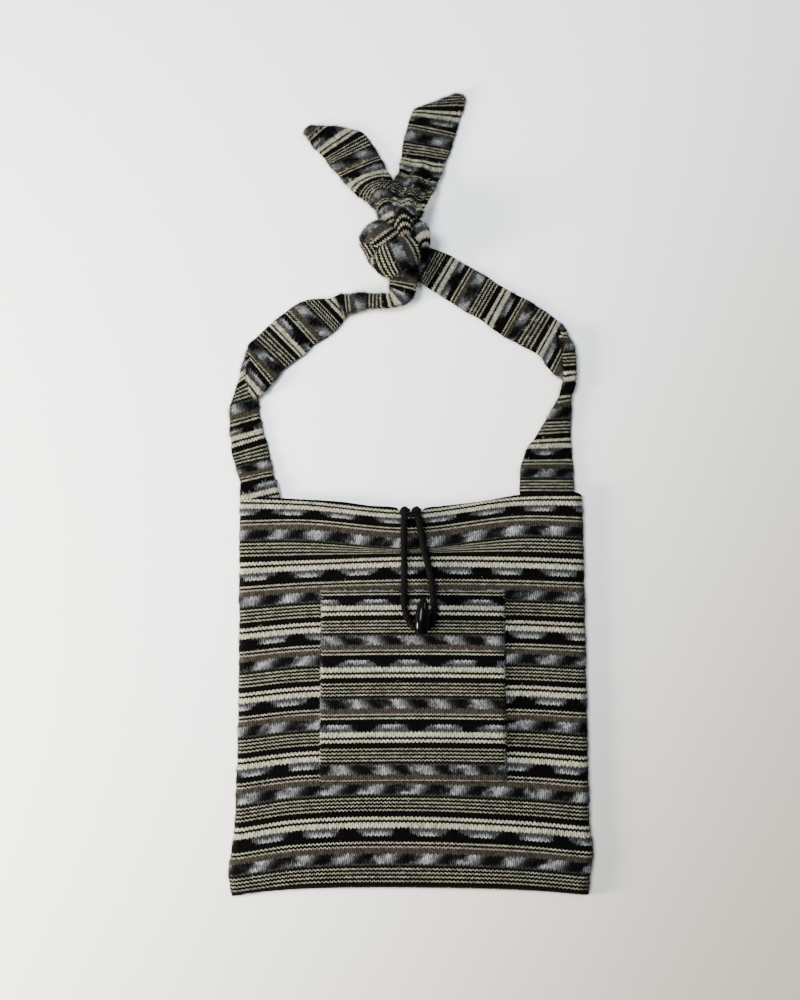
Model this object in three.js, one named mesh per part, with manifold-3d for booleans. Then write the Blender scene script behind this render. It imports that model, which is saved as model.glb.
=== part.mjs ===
// A knit crossbody bag lying on its back: a flat square body of striped machine knit with an open
// mouth, a patch pocket, a cord loop over a long toggle, and two straps knotted above the mouth.
// Millimetres. X runs across the bag, Y from its bottom edge to its mouth, Z up from the surface
// that it lies on. The origin is the middle of the back panel's underside.

import * as THREE from "three";
import { mergeVertices } from "three/addons/utils/BufferGeometryUtils.js";
import Module from "manifold-3d";

// Body of the bag
const BAG_WIDTH = 300;
const BAG_HEIGHT = 330;
const WALL = 2;
const LOFT = 7.4;
const EDGE_ROUND = 8;
const CLEARANCE = 0.3;

// Patch pocket on the front
const POCKET_WIDTH = 156.5;
const POCKET_HEIGHT = 159;
const POCKET_MIDDLE_X = 1.2;
const POCKET_MIDDLE_Y = 11;
const POCKET_LOFT = 3.6;
const POCKET_ROUND = 5;

// Straps, their knot and the two tails
const STRAP_WIDTH = 42;
const STRAP_THICKNESS = 3.6;
const STRAP_RISE = 227;
const STRAP_TUCK = 12;
const SEAM_INSET = 4.5;
const FOLD_GAP = 0.6;
const KNOT_X = -15;
const KNOT_SIZE = 64;
const KNOT_HEIGHT = 34;
const TAIL_LENGTH = 130;
const TAIL_WIDTH = 45;

// Closure
const CORD_DIAMETER = 6;
const TOGGLE_LENGTH = 32;
const TOGGLE_DIAMETER = 12.5;
const TOGGLE_X = 8.8;
const TOGGLE_Y = 69.5;
const TOGGLE_LEAN = 4;
const SHANK_DIAMETER = 4;

// Levels and centres that follow from them
const HALF_WIDTH = BAG_WIDTH / 2;
const MOUTH_Y = BAG_HEIGHT / 2;
const FRONT_BASE = WALL + CLEARANCE;
const KNOT_Y = MOUTH_Y + STRAP_RISE;
const LAID = CLEARANCE + STRAP_THICKNESS / 2;
const FOLD_RADIUS = (STRAP_THICKNESS + FOLD_GAP) / 2;
const IN_MOUTH = WALL + 2 * CLEARANCE + STRAP_THICKNESS / 2;

const YARN_DARK = 0x2b2a28;
const YARN_MIXED = 0x6a6862;
const YARN_PALE = 0x8b877c;
const CORD_BLACK = 0x0d0d0e;

// Half outline of the body: shares of half the width, at shares of the height above the bottom.
const SIDES = [
  { up: 0.0, left: 1.003, right: 0.98 },
  { up: 0.06, left: 1.022, right: 0.998 },
  { up: 0.1, left: 1.013, right: 1.013 },
  { up: 0.17, left: 0.994, right: 0.997 },
  { up: 0.5, left: 0.985, right: 0.996 },
  { up: 0.93, left: 0.998, right: 0.996 },
  { up: 1.0, left: 0.998, right: 0.992 },
];

// The bottom edge arches up in the middle: shares of the height, across from -1 to 1.
const BOTTOM_ARCH = [
  { across: -1.0, rise: 0.006 },
  { across: -0.9, rise: 0.015 },
  { across: -0.6, rise: 0.025 },
  { across: 0.0, rise: 0.028 },
  { across: 0.65, rise: 0.021 },
  { across: 1.0, rise: 0.01 },
];

// The mouth dips in the middle and is notched where the cord crosses it: shares of the height.
const MOUTH_LINE = [
  { across: -1.0, rise: 0.008 },
  { across: -0.86, rise: 0.018 },
  { across: -0.64, rise: 0.013 },
  { across: -0.41, rise: 0.006 },
  { across: -0.24, rise: -0.005 },
  { across: -0.08, rise: -0.011 },
  { across: -0.055, rise: -0.025 },
  { across: 0.055, rise: -0.026 },
  { across: 0.08, rise: -0.0125 },
  { across: 0.165, rise: -0.007 },
  { across: 0.4, rise: 0.006 },
  { across: 0.63, rise: 0.022 },
  { across: 0.8, rise: 0.027 },
  { across: 0.95, rise: 0.025 },
  { across: 1.0, rise: 0.018 },
];

// How far the back panel's mouth stands above the front's, in walls.
const BACK_MOUTH_RISE = 0.7;

// Dents in the front: place as shares of half the width and of half the height, reach as shares
// of the same, and depth as a share of the loft. A negative depth is a swell.
const DENTS = [
  { across: 0.02, up: 1.0, reachX: 0.11, reachY: 0.13, depth: 0.5 },
  { across: -0.32, up: 0.79, reachX: 0.3, reachY: 0.035, depth: 0.13 },
  { across: -0.35, up: 0.9, reachX: 0.3, reachY: 0.05, depth: -0.07 },
  { across: 0.42, up: 0.8, reachX: 0.25, reachY: 0.04, depth: 0.09 },
  { across: -0.75, up: -0.6, reachX: 0.12, reachY: 0.35, depth: 0.06 },
  { across: 0.72, up: -0.2, reachX: 0.1, reachY: 0.5, depth: 0.06 },
  { across: 0.0, up: -0.8, reachX: 0.5, reachY: 0.09, depth: 0.07 },
];

// Arc positions, in quarter turns, where a panel's edge rounds over.
const ROUNDING_STEPS = [0, 0.3, 0.62, 1];

// Stations between a panel's rounded edges, as shares. The front's gather about its notch.
const FRONT_COLUMNS = [
  0.08, 0.16, 0.24, 0.32, 0.4, 0.44, 0.4578, 0.471, 0.5, 0.529, 0.5423, 0.56, 0.61, 0.69, 0.77, 0.85,
  0.92,
];
const evenly = (count) => Array.from({ length: count - 1 }, (_, i) => (i + 1) / count);

// A smooth value between the rows of a table, by a cubic through the rows.
function valueAt(table, key, name, where) {
  const last = table.length - 1;
  const inside = Math.min(Math.max(where, table[0][key]), table[last][key]);
  let i = 0;
  while (i < last - 1 && inside > table[i + 1][key]) {
    i += 1;
  }
  const slope = (k) => {
    const before = table[Math.max(k - 1, 0)];
    const after = table[Math.min(k + 1, last)];
    return (after[name] - before[name]) / (after[key] - before[key]);
  };
  const span = table[i + 1][key] - table[i][key];
  const t = (inside - table[i][key]) / span;
  const start = table[i][name];
  const end = table[i + 1][name];
  const startSlope = slope(i) * span;
  const endSlope = slope(i + 1) * span;
  return (
    start +
    startSlope * t +
    (3 * (end - start) - 2 * startSlope - endSlope) * t * t +
    (2 * (start - end) + startSlope + endSlope) * t * t * t
  );
}

const lerp = (from, to, share) => from + (to - from) * share;

// A closed body between an outer and an inner grid of points, with a rim all round.
function sheetGeometry(outer, inner) {
  const rows = outer.length;
  const columns = outer[0].length;
  const positions = [];
  for (const grid of [outer, inner]) {
    for (const row of grid) {
      for (const point of row) {
        positions.push(point.x, point.y, point.z);
      }
    }
  }
  const index = [];
  const quad = (a, b, c, d) => index.push(a, b, c, a, c, d);
  const out = (r, c) => r * columns + c;
  const back = (r, c) => rows * columns + r * columns + c;
  for (let r = 0; r < rows - 1; r += 1) {
    for (let c = 0; c < columns - 1; c += 1) {
      quad(out(r, c), out(r, c + 1), out(r + 1, c + 1), out(r + 1, c));
      quad(back(r, c), back(r + 1, c), back(r + 1, c + 1), back(r, c + 1));
    }
  }
  const top = rows - 1;
  for (let c = 0; c < columns - 1; c += 1) {
    quad(back(0, c), back(0, c + 1), out(0, c + 1), out(0, c));
    quad(out(top, c), out(top, c + 1), back(top, c + 1), back(top, c));
  }
  const right = columns - 1;
  for (let r = 0; r < rows - 1; r += 1) {
    quad(out(r, 0), out(r + 1, 0), back(r + 1, 0), back(r, 0));
    quad(back(r, right), back(r + 1, right), out(r + 1, right), out(r, right));
  }
  const geometry = new THREE.BufferGeometry();
  geometry.setAttribute("position", new THREE.Float32BufferAttribute(positions, 3));
  geometry.setIndex(index);
  return geometry;
}

// A closed body lofted through rings of points. Each ring runs over the top from its left end to
// its right end and back along the underside.
function ringGeometry(rings) {
  const count = rings[0].length;
  const half = count / 2;
  const positions = rings.flat().flatMap((point) => [point.x, point.y, point.z]);
  const index = [];
  for (let r = 0; r < rings.length - 1; r += 1) {
    for (let i = 0; i < count; i += 1) {
      const j = (i + 1) % count;
      const a = r * count + i;
      const b = r * count + j;
      const c = (r + 1) * count + j;
      const d = (r + 1) * count + i;
      index.push(a, b, c, a, c, d);
    }
  }
  const cap = (first, flip) => {
    const face = (a, b, c) => (flip ? index.push(a, c, b) : index.push(a, b, c));
    const top = (i) => first + i;
    const under = (i) => first + ((count - i) % count);
    face(top(0), under(1), top(1));
    for (let i = 1; i < half - 1; i += 1) {
      face(top(i), under(i), under(i + 1));
      face(top(i), under(i + 1), top(i + 1));
    }
    face(top(half - 1), under(half - 1), top(half));
  };
  cap(0, false);
  cap((rings.length - 1) * count, true);
  const geometry = new THREE.BufferGeometry();
  geometry.setAttribute("position", new THREE.Float32BufferAttribute(positions, 3));
  geometry.setIndex(index);
  return geometry;
}

// Outline of the body: x of a side at a height share, and y of an edge at an across share.
const sideX = (side, up) => side * HALF_WIDTH * valueAt(SIDES, "up", side < 0 ? "left" : "right", up);
const bottomY = (across) => BAG_HEIGHT * (valueAt(BOTTOM_ARCH, "across", "rise", across) - 0.5);
const mouthY = (across) => BAG_HEIGHT * (valueAt(MOUTH_LINE, "across", "rise", across) + 0.5);

// Loft of the front at a place, as a share of LOFT.
function loftShare(x, y) {
  return DENTS.reduce((share, dent) => {
    const dx = (x / HALF_WIDTH - dent.across) / dent.reachX;
    const dy = (y / MOUTH_Y - dent.up) / dent.reachY;
    return share - dent.depth * Math.exp(-dx * dx - dy * dy);
  }, 1);
}

const frontTop = (x, y) => FRONT_BASE + LOFT * loftShare(x, y);

// Stations across or along a panel: a rounded edge holds its turn, an open one only a share.
function stations(shares, roundedEnd) {
  const list = ROUNDING_STEPS.map((turn) => ({ end: -1, turn }));
  const middle = shares.map((share) => ({ share }));
  if (roundedEnd) {
    return list.concat(middle, [...ROUNDING_STEPS].reverse().map((turn) => ({ end: 1, turn })));
  }
  return list.concat(middle, [{ share: 1 }]);
}

// Place of a station between two edges, for a wall whose edge rounds with the given radius after
// an inset.
function placeOf(station, low, high, inset, radius, roundedEnd) {
  if (station.end === undefined) {
    const from = low + inset + radius;
    const to = roundedEnd ? high - inset - radius : high;
    return lerp(from, to, station.share);
  }
  const reach = inset + radius * (1 - Math.cos((station.turn * Math.PI) / 2));
  return station.end < 0 ? low + reach : high - reach;
}

const standing = (station) => (station.end === undefined ? 1 : Math.sin((station.turn * Math.PI) / 2));

// One surface of a panel that is rounded at its sides and bottom and open at its top.
function panelSurface(across, along, edges, inset, radius, height) {
  return along.map((row) =>
    across.map((column) => {
      const guess = placeOf(column, -1, 1, inset / HALF_WIDTH, radius / HALF_WIDTH, true);
      const y = placeOf(row, edges.bottom(guess), edges.top(guess), inset, radius, false);
      const up = (y - edges.bottom(guess)) / (edges.top(guess) - edges.bottom(guess));
      const x = placeOf(column, edges.left(up), edges.right(up), inset, radius, true);
      return new THREE.Vector3(x, y, height(x, y, standing(row) * standing(column)));
    }),
  );
}

function frontPanel() {
  const across = stations(FRONT_COLUMNS, true);
  const along = stations(evenly(14), false);
  const edges = {
    left: (up) => sideX(-1, up),
    right: (up) => sideX(1, up),
    bottom: bottomY,
    top: mouthY,
  };
  const over = (x, y, share) => FRONT_BASE + LOFT * loftShare(x, y) * share;
  const under = (x, y, share) => FRONT_BASE + (LOFT * loftShare(x, y) - WALL) * share;
  return sheetGeometry(
    panelSurface(across, along, edges, 0, EDGE_ROUND, over),
    panelSurface(across, along, edges, WALL, EDGE_ROUND - WALL, under),
  );
}

// The back panel lies flat, with the front's outline and a mouth that stands a little higher.
function backPanel() {
  const steps = 24;
  const outline = [];
  for (let i = 0; i <= steps; i += 1) {
    const across = -1 + (2 * i) / steps;
    outline.push(new THREE.Vector2(lerp(sideX(-1, 0), sideX(1, 0), i / steps), bottomY(across)));
  }
  for (let i = 1; i < steps; i += 1) {
    outline.push(new THREE.Vector2(sideX(1, i / steps), lerp(bottomY(1), mouthY(1), i / steps)));
  }
  for (let i = steps; i >= 0; i -= 1) {
    const across = -1 + (2 * i) / steps;
    const y = mouthY(across) + WALL * BACK_MOUTH_RISE * (1 - across * across);
    outline.push(new THREE.Vector2(lerp(sideX(-1, 1), sideX(1, 1), i / steps), y));
  }
  for (let i = steps - 1; i > 0; i -= 1) {
    outline.push(new THREE.Vector2(sideX(-1, i / steps), lerp(bottomY(-1), mouthY(-1), i / steps)));
  }
  return new THREE.ExtrudeGeometry(new THREE.Shape(outline), { depth: WALL, bevelEnabled: false });
}

// The pocket's cloth is sewn down at its sides and bottom and stands off the front between them.
function pocket() {
  const across = stations(evenly(8), true);
  const along = stations(evenly(9), false);
  const edges = {
    left: () => POCKET_MIDDLE_X - POCKET_WIDTH / 2,
    right: () => POCKET_MIDDLE_X + POCKET_WIDTH / 2,
    bottom: () => POCKET_MIDDLE_Y - POCKET_HEIGHT / 2,
    top: () => POCKET_MIDDLE_Y + POCKET_HEIGHT / 2,
  };
  const over = (x, y, share) => frontTop(x, y) + CLEARANCE + POCKET_LOFT * share;
  const under = (x, y, share) => frontTop(x, y) + CLEARANCE + (POCKET_LOFT - WALL) * share;
  return sheetGeometry(
    panelSurface(across, along, edges, 0, POCKET_ROUND, over),
    panelSurface(across, along, edges, WALL, POCKET_ROUND - WALL, under),
  );
}

// A band of doubled knit follows a route of sections. A section has its middle, the plan angle of
// its crosswise line (aim) and that line's slope (roll), in degrees, and its width, thickness,
// crown and pleat. The line runs from the band's left edge to its right.
const CHANNELS = ["x", "y", "z", "aim", "roll", "wide", "thick", "crown", "pleat"];

// A crease turns the band over: half a turn of sections about the crease line.
function withCreases(sections) {
  return sections.flatMap((section) => {
    if (!section.crease) {
      return [section];
    }
    const aim = THREE.MathUtils.degToRad(section.aim);
    return [90, 45, 0, -45, -90].map((degrees) => {
      const turn = THREE.MathUtils.degToRad(degrees);
      const out = section.crease * FOLD_RADIUS * Math.cos(turn);
      return {
        ...section,
        x: section.x - out * Math.sin(aim),
        y: section.y + out * Math.cos(aim),
        z: LAID + FOLD_RADIUS * (1 + Math.sin(turn)),
      };
    });
  });
}

// A smooth section anywhere along a route, by a Catmull-Rom curve through its sections.
function sectionAt(sections, place) {
  const last = sections.length - 1;
  const i = Math.min(Math.floor(place), last - 1);
  const t = place - i;
  const [before, start, end, after] = [i - 1, i, i + 1, i + 2].map(
    (k) => sections[Math.min(Math.max(k, 0), last)],
  );
  const section = {};
  for (const name of CHANNELS) {
    const [a, b, c, d] = [before, start, end, after].map((each) => each[name] ?? 0);
    section[name] =
      b +
      0.5 * t * (c - a + t * (2 * a - 5 * b + 4 * c - d + t * (3 * (b - c) + d - a)));
  }
  return section;
}

const middleOf = (section) => new THREE.Vector3(section.x, section.y, section.z);

// The ring of points round a band at one place. Its edges are rounded, its face may be crowned,
// and pleats run along it.
function bandRing(sections, place, columns, pleats) {
  const section = sectionAt(sections, place);
  const step = 0.05;
  const last = sections.length - 1;
  const tangent = middleOf(sectionAt(sections, Math.min(place + step, last)))
    .sub(middleOf(sectionAt(sections, Math.max(place - step, 0))))
    .normalize();
  const aim = THREE.MathUtils.degToRad(section.aim);
  const roll = THREE.MathUtils.degToRad(section.roll);
  const across = new THREE.Vector3(
    Math.cos(aim) * Math.cos(roll),
    Math.sin(aim) * Math.cos(roll),
    Math.sin(roll),
  );
  const normal = new THREE.Vector3().crossVectors(across, tangent).normalize();
  const point = (turn, side) => {
    const u = -Math.cos((turn * Math.PI) / columns);
    const stretch = Math.sign(u) * Math.abs(u) ** 0.8;
    const half = (section.thick / 2) * (1 - stretch ** 4) ** 0.5;
    const rise = section.crown * (0.5 - stretch * stretch);
    const pleat = section.pleat * Math.cos(pleats * Math.PI * stretch);
    return middleOf(section)
      .addScaledVector(across, (stretch * section.wide) / 2)
      .addScaledVector(normal, side * half + rise + pleat);
  };
  const ring = [];
  for (let i = 0; i <= columns; i += 1) {
    ring.push(point(i, 1));
  }
  for (let i = columns - 1; i > 0; i -= 1) {
    ring.push(point(i, -1));
  }
  return ring;
}

function bandGeometry(sections, { from = 0, to = sections.length - 1, steps = 3, columns = 8, pleats = 2 }) {
  const count = Math.max(2, Math.round((to - from) * steps));
  const rings = [];
  for (let i = 0; i <= count; i += 1) {
    rings.push(bandRing(sections, lerp(from, to, i / count), columns, pleats));
  }
  return ringGeometry(rings);
}

// Sections of a strap. Across runs from the side seam (0) to the knot's middle (1), up from the
// mouth (0) to the knot (1). Wide is in strap widths and thick in strap thicknesses. Layer 0 lies
// on the surface and layer 1 on the strap's own return. Rows with tuck lie in the mouth's corner.
const LEFT_STRAP = [
  { tuck: -1, wide: 0.76, thick: 1, aim: 0 },
  { tuck: 0.6, wide: 0.76, thick: 1, aim: 0 },
  { across: 0.11, up: 0.1, wide: 0.75, thick: 1, aim: -3, layer: 0.3 },
  { across: 0.07, up: 0.16, wide: 0.76, thick: 1, aim: 2, layer: 0.1 },
  { across: 0.035, up: 0.24, wide: 0.8, thick: 1, aim: 12, layer: 0.3 },
  { across: 0.015, up: 0.325, wide: 0.84, thick: 1, aim: 32, layer: 0.9 },
  { across: 0.004, up: 0.4, wide: 0.98, thick: 1, aim: 55, layer: 1.05 },
  { across: 0.0, up: 0.51, wide: 1.2, thick: 1, aim: 75, crease: 1 },
  { across: 0.085, up: 0.565, wide: 1.2, thick: 1, aim: 92, layer: 0 },
  { across: 0.205, up: 0.62, wide: 1.13, thick: 1, aim: 110, layer: 0 },
  { across: 0.33, up: 0.672, wide: 1.06, thick: 1, aim: 119, layer: 0 },
  { across: 0.45, up: 0.722, wide: 0.96, thick: 1.05, aim: 118, layer: 0 },
  { across: 0.555, up: 0.762, wide: 0.76, thick: 1.25, aim: 108, layer: 0.15 },
  { across: 0.655, up: 0.79, wide: 0.46, thick: 1.7, aim: 100, layer: 0.35 },
  { across: 0.78, up: 0.801, wide: 0.33, thick: 2.1, aim: 93, layer: 0.5 },
  { across: 0.9, up: 0.802, wide: 0.31, thick: 2.2, aim: 91, layer: 0.65 },
  { across: 1.0, up: 0.806, wide: 0.34, thick: 2.2, aim: 118, layer: 1.0 },
  { across: 1.05, up: 0.84, wide: 0.55, thick: 1.9, aim: 160, layer: 1.6 },
  { across: 1.06, up: 0.9, wide: 0.58, thick: 1.8, aim: 176, layer: 2.2 },
  { across: 1.07, up: 0.96, wide: 0.5, thick: 1.8, aim: 180, layer: 2.6 },
];
const LEFT_STRAP_END = 20.2;

const RIGHT_STRAP = [
  { tuck: -1, wide: 1.06, thick: 1, aim: 0 },
  { tuck: 0.85, wide: 1.08, thick: 1, aim: 0 },
  { across: 0.19, up: 0.12, wide: 1.09, thick: 1, aim: 0, layer: 0.2 },
  { across: 0.182, up: 0.2, wide: 1.02, thick: 1, aim: -6, layer: 0.2 },
  { across: 0.14, up: 0.28, wide: 0.8, thick: 1.05, aim: -22, layer: 0.5 },
  { across: 0.088, up: 0.365, wide: 0.62, thick: 1.1, aim: -42, layer: 0.95 },
  { across: 0.064, up: 0.455, wide: 0.8, thick: 1.05, aim: -62, layer: 1.05 },
  { across: 0.07, up: 0.575, wide: 1.32, thick: 1, aim: -77, crease: 1 },
  { across: 0.12, up: 0.625, wide: 1.28, thick: 1, aim: -89, layer: 0 },
  { across: 0.205, up: 0.665, wide: 1.12, thick: 1, aim: -105, layer: 0 },
  { across: 0.31, up: 0.72, wide: 1.0, thick: 1, aim: -116, layer: 0 },
  { across: 0.43, up: 0.783, wide: 0.93, thick: 1, aim: -119, layer: 0 },
  { across: 0.555, up: 0.846, wide: 0.88, thick: 1, aim: -120, layer: 0 },
  { across: 0.69, up: 0.896, wide: 0.87, thick: 1.05, aim: -120, layer: 0.1 },
  { across: 0.8, up: 0.93, wide: 0.83, thick: 1.15, aim: -119, layer: 0.4 },
  { across: 0.9, up: 0.955, wide: 0.76, thick: 1.3, aim: -118, layer: 0.8 },
  { across: 1.0, up: 0.985, wide: 0.66, thick: 1.5, aim: -117, layer: 1.2 },
];
const RIGHT_STRAP_END = 17.3;

function strapRoute(side, rows) {
  const sections = rows.map((row) => {
    const wide = row.wide * STRAP_WIDTH;
    const thick = row.thick * STRAP_THICKNESS;
    const shape = { wide, thick, aim: row.aim, crease: row.crease };
    if (row.tuck !== undefined) {
      const x = side * (HALF_WIDTH - SEAM_INSET - wide / 2);
      return { ...shape, x, y: MOUTH_Y + row.tuck * STRAP_TUCK, z: IN_MOUTH };
    }
    return {
      ...shape,
      x: lerp(side * HALF_WIDTH, KNOT_X, row.across),
      y: lerp(MOUTH_Y, KNOT_Y, row.up),
      z: CLEARANCE + thick / 2 + (row.layer ?? 0) * 2 * FOLD_RADIUS,
    };
  });
  return withCreases(sections);
}

const strap = (side, rows, end) => bandGeometry(strapRoute(side, rows), { to: end, steps: 2.2 });
const strapRoot = (side, rows, end) => {
  const route = strapRoute(side, rows);
  return bandGeometry(route, { from: end + cutGap(route, end), steps: 3 });
};

// The step along a route that leaves the usual clearance between two lengths of one band.
function cutGap(route, place) {
  const step = 0.01;
  const moved = middleOf(sectionAt(route, place + step)).distanceTo(middleOf(sectionAt(route, place)));
  return (CLEARANCE * step) / moved;
}

// Sections of a tail, from inside the knot to its slanted tip. Out and up are shares of the tail's
// length from the knot's middle, wide is in tail widths, and lift in knot heights.
const LEFT_TAIL = [
  { out: 0.03, up: 0.12, wide: 0.36, thick: 2.2, aim: 30, lift: 0.5, pleat: 0 },
  { out: -0.01, up: 0.21, wide: 0.38, thick: 2.1, aim: 28, lift: 0.5, pleat: 0.2 },
  { out: -0.06, up: 0.325, wide: 0.33, thick: 2.2, aim: 24, lift: 0.38, pleat: 0.4 },
  { out: -0.105, up: 0.405, wide: 0.5, thick: 1.5, aim: 24, lift: 0.25, pleat: 0.5 },
  { out: -0.16, up: 0.49, wide: 0.75, thick: 1.1, aim: 25, lift: 0.12, pleat: 0.3 },
  { out: -0.225, up: 0.585, wide: 0.93, thick: 1, aim: 25, lift: 0.05, pleat: 0.1 },
  { out: -0.29, up: 0.69, wide: 1.03, thick: 1, aim: 20, lift: 0, pleat: 0 },
  { out: -0.36, up: 0.785, wide: 1.09, thick: 1, aim: 13, lift: 0, pleat: 0 },
  { out: -0.437, up: 0.9, wide: 1.07, thick: 1, aim: 4, lift: 0, pleat: 0 },
];

const RIGHT_TAIL = [
  { out: 0.05, up: -0.01, wide: 0.34, thick: 1.4, aim: 14, lift: 0.5, pleat: 0 },
  { out: 0.05, up: 0.05, wide: 0.36, thick: 1.4, aim: 14, lift: 0.74, pleat: 0 },
  { out: 0.053, up: 0.115, wide: 0.38, thick: 1.5, aim: 13, lift: 0.76, pleat: 0.1 },
  { out: 0.062, up: 0.18, wide: 0.44, thick: 1.6, aim: 8, lift: 0.62, pleat: 0.3 },
  { out: 0.1, up: 0.265, wide: 0.62, thick: 1.6, aim: -2, lift: 0.44, pleat: 0.6 },
  { out: 0.112, up: 0.35, wide: 0.77, thick: 1.2, aim: -6, lift: 0.27, pleat: 0.7 },
  { out: 0.137, up: 0.445, wide: 0.84, thick: 1, aim: -8, lift: 0.14, pleat: 0.5 },
  { out: 0.18, up: 0.565, wide: 0.87, thick: 1, aim: -9, lift: 0.06, pleat: 0.3 },
  { out: 0.217, up: 0.735, wide: 0.94, thick: 1, aim: -10, lift: 0, pleat: 0.1 },
  { out: 0.262, up: 0.92, wide: 1.0, thick: 1, aim: -7, lift: 0, pleat: 0 },
  { out: 0.295, up: 1.03, wide: 1.03, thick: 1, aim: 3, lift: 0, pleat: 0 },
  { out: 0.32, up: 1.112, wide: 1.06, thick: 1, aim: 15, lift: 0, pleat: 0 },
];
const LEFT_TAIL_START = 2.4;
const RIGHT_TAIL_START = 5.1;

function tailRoute(rows) {
  return rows.map((row) => {
    const thick = row.thick * STRAP_THICKNESS;
    const pleat = row.pleat * STRAP_THICKNESS;
    return {
      x: KNOT_X + row.out * TAIL_LENGTH,
      y: KNOT_Y + row.up * TAIL_LENGTH,
      z: CLEARANCE + thick / 2 + pleat + row.lift * KNOT_HEIGHT,
      aim: row.aim,
      wide: row.wide * TAIL_WIDTH,
      thick,
      pleat,
    };
  });
}

const tail = (rows, start) => bandGeometry(tailRoute(rows), { from: start });
const tailRoot = (rows, start) => {
  const route = tailRoute(rows);
  return bandGeometry(route, { to: start - cutGap(route, start) });
};

// Wraps of the knot: places from its middle and widths in knot sizes, height above the surface and
// crown in knot heights, and the slope of each crosswise line.
const FRONT_WRAP = [
  { x: -0.08, y: -0.18, z: 0.12, wide: 0.34, thick: 0.13, aim: -54, roll: 0, crown: 0 },
  { x: -0.17, y: -0.25, z: 0.24, wide: 0.4, thick: 0.14, aim: -54, roll: -4, crown: 0.04 },
  { x: -0.2, y: -0.27, z: 0.46, wide: 0.46, thick: 0.15, aim: -54, roll: -6, crown: 0.08 },
  { x: -0.14, y: -0.235, z: 0.7, wide: 0.49, thick: 0.15, aim: -54, roll: -8, crown: 0.1 },
  { x: -0.02, y: -0.16, z: 0.87, wide: 0.5, thick: 0.15, aim: -53, roll: -8, crown: 0.1 },
  { x: 0.1, y: -0.07, z: 0.91, wide: 0.48, thick: 0.15, aim: -52, roll: -6, crown: 0.1 },
  { x: 0.21, y: 0.0, z: 0.82, wide: 0.46, thick: 0.15, aim: -54, roll: -4, crown: 0.08 },
  { x: 0.29, y: 0.04, z: 0.6, wide: 0.42, thick: 0.14, aim: -58, roll: 0, crown: 0.04 },
  { x: 0.24, y: 0.02, z: 0.36, wide: 0.36, thick: 0.13, aim: -60, roll: 0, crown: 0 },
];

const LEFT_WRAP = [
  { x: 0.0, y: -0.04, z: 0.56, wide: 0.42, thick: 0.14, aim: 44, roll: 8, crown: 0.04 },
  { x: -0.1, y: 0.05, z: 0.73, wide: 0.46, thick: 0.15, aim: 44, roll: 10, crown: 0.08 },
  { x: -0.2, y: 0.14, z: 0.72, wide: 0.5, thick: 0.15, aim: 44, roll: 10, crown: 0.12 },
  { x: -0.275, y: 0.205, z: 0.54, wide: 0.52, thick: 0.15, aim: 44, roll: 6, crown: 0.1 },
  { x: -0.285, y: 0.21, z: 0.32, wide: 0.48, thick: 0.14, aim: 44, roll: 2, crown: 0.05 },
  { x: -0.2, y: 0.14, z: 0.14, wide: 0.42, thick: 0.13, aim: 44, roll: 0, crown: 0 },
  { x: -0.08, y: 0.04, z: 0.11, wide: 0.36, thick: 0.13, aim: 44, roll: 0, crown: 0 },
];

const RIGHT_WRAP = [
  { x: 0.14, y: 0.16, z: 0.62, wide: 0.4, thick: 0.13, aim: -76, roll: 0, crown: 0.04 },
  { x: 0.23, y: 0.155, z: 0.8, wide: 0.44, thick: 0.14, aim: -74, roll: -4, crown: 0.08 },
  { x: 0.34, y: 0.13, z: 0.76, wide: 0.48, thick: 0.15, aim: -70, roll: -4, crown: 0.1 },
  { x: 0.415, y: 0.1, z: 0.54, wide: 0.5, thick: 0.15, aim: -68, roll: 0, crown: 0.08 },
  { x: 0.41, y: 0.09, z: 0.3, wide: 0.46, thick: 0.14, aim: -68, roll: 0, crown: 0.04 },
  { x: 0.3, y: 0.06, z: 0.13, wide: 0.4, thick: 0.13, aim: -68, roll: 0, crown: 0 },
];

function wrapRoute(rows) {
  return rows.map((row) => ({
    x: KNOT_X + row.x * KNOT_SIZE,
    y: KNOT_Y + row.y * KNOT_SIZE,
    z: CLEARANCE + row.z * KNOT_HEIGHT,
    aim: row.aim,
    roll: row.roll,
    wide: row.wide * KNOT_SIZE,
    thick: row.thick * KNOT_HEIGHT,
    crown: row.crown * KNOT_HEIGHT,
  }));
}

// The packed middle of the knot, inside the wraps.
function knotCore() {
  const core = new THREE.SphereGeometry(0.5, 12, 8);
  core.rotateX(Math.PI / 2);
  core.scale(KNOT_SIZE * 0.64, KNOT_SIZE * 0.66, KNOT_HEIGHT * 0.8);
  core.translate(KNOT_X, KNOT_Y, CLEARANCE + KNOT_HEIGHT * 0.42);
  return core;
}

const wasm = await Module();
wasm.setup();

function toManifold(geometry) {
  const bare = geometry.clone();
  bare.deleteAttribute("normal");
  bare.deleteAttribute("uv");
  const merged = mergeVertices(bare, 1e-4);
  return new wasm.Manifold(
    new wasm.Mesh({
      numProp: 3,
      vertProperties: new Float32Array(merged.attributes.position.array),
      triVerts: new Uint32Array(merged.index.array),
    }),
  );
}

function fused(geometries) {
  const solid = geometries.map(toManifold).reduce((joined, next) => joined.add(next));
  const mesh = solid.getMesh();
  const geometry = new THREE.BufferGeometry();
  geometry.setAttribute("position", new THREE.BufferAttribute(mesh.vertProperties, 3));
  geometry.setIndex(new THREE.BufferAttribute(mesh.triVerts, 1));
  return geometry;
}

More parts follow.
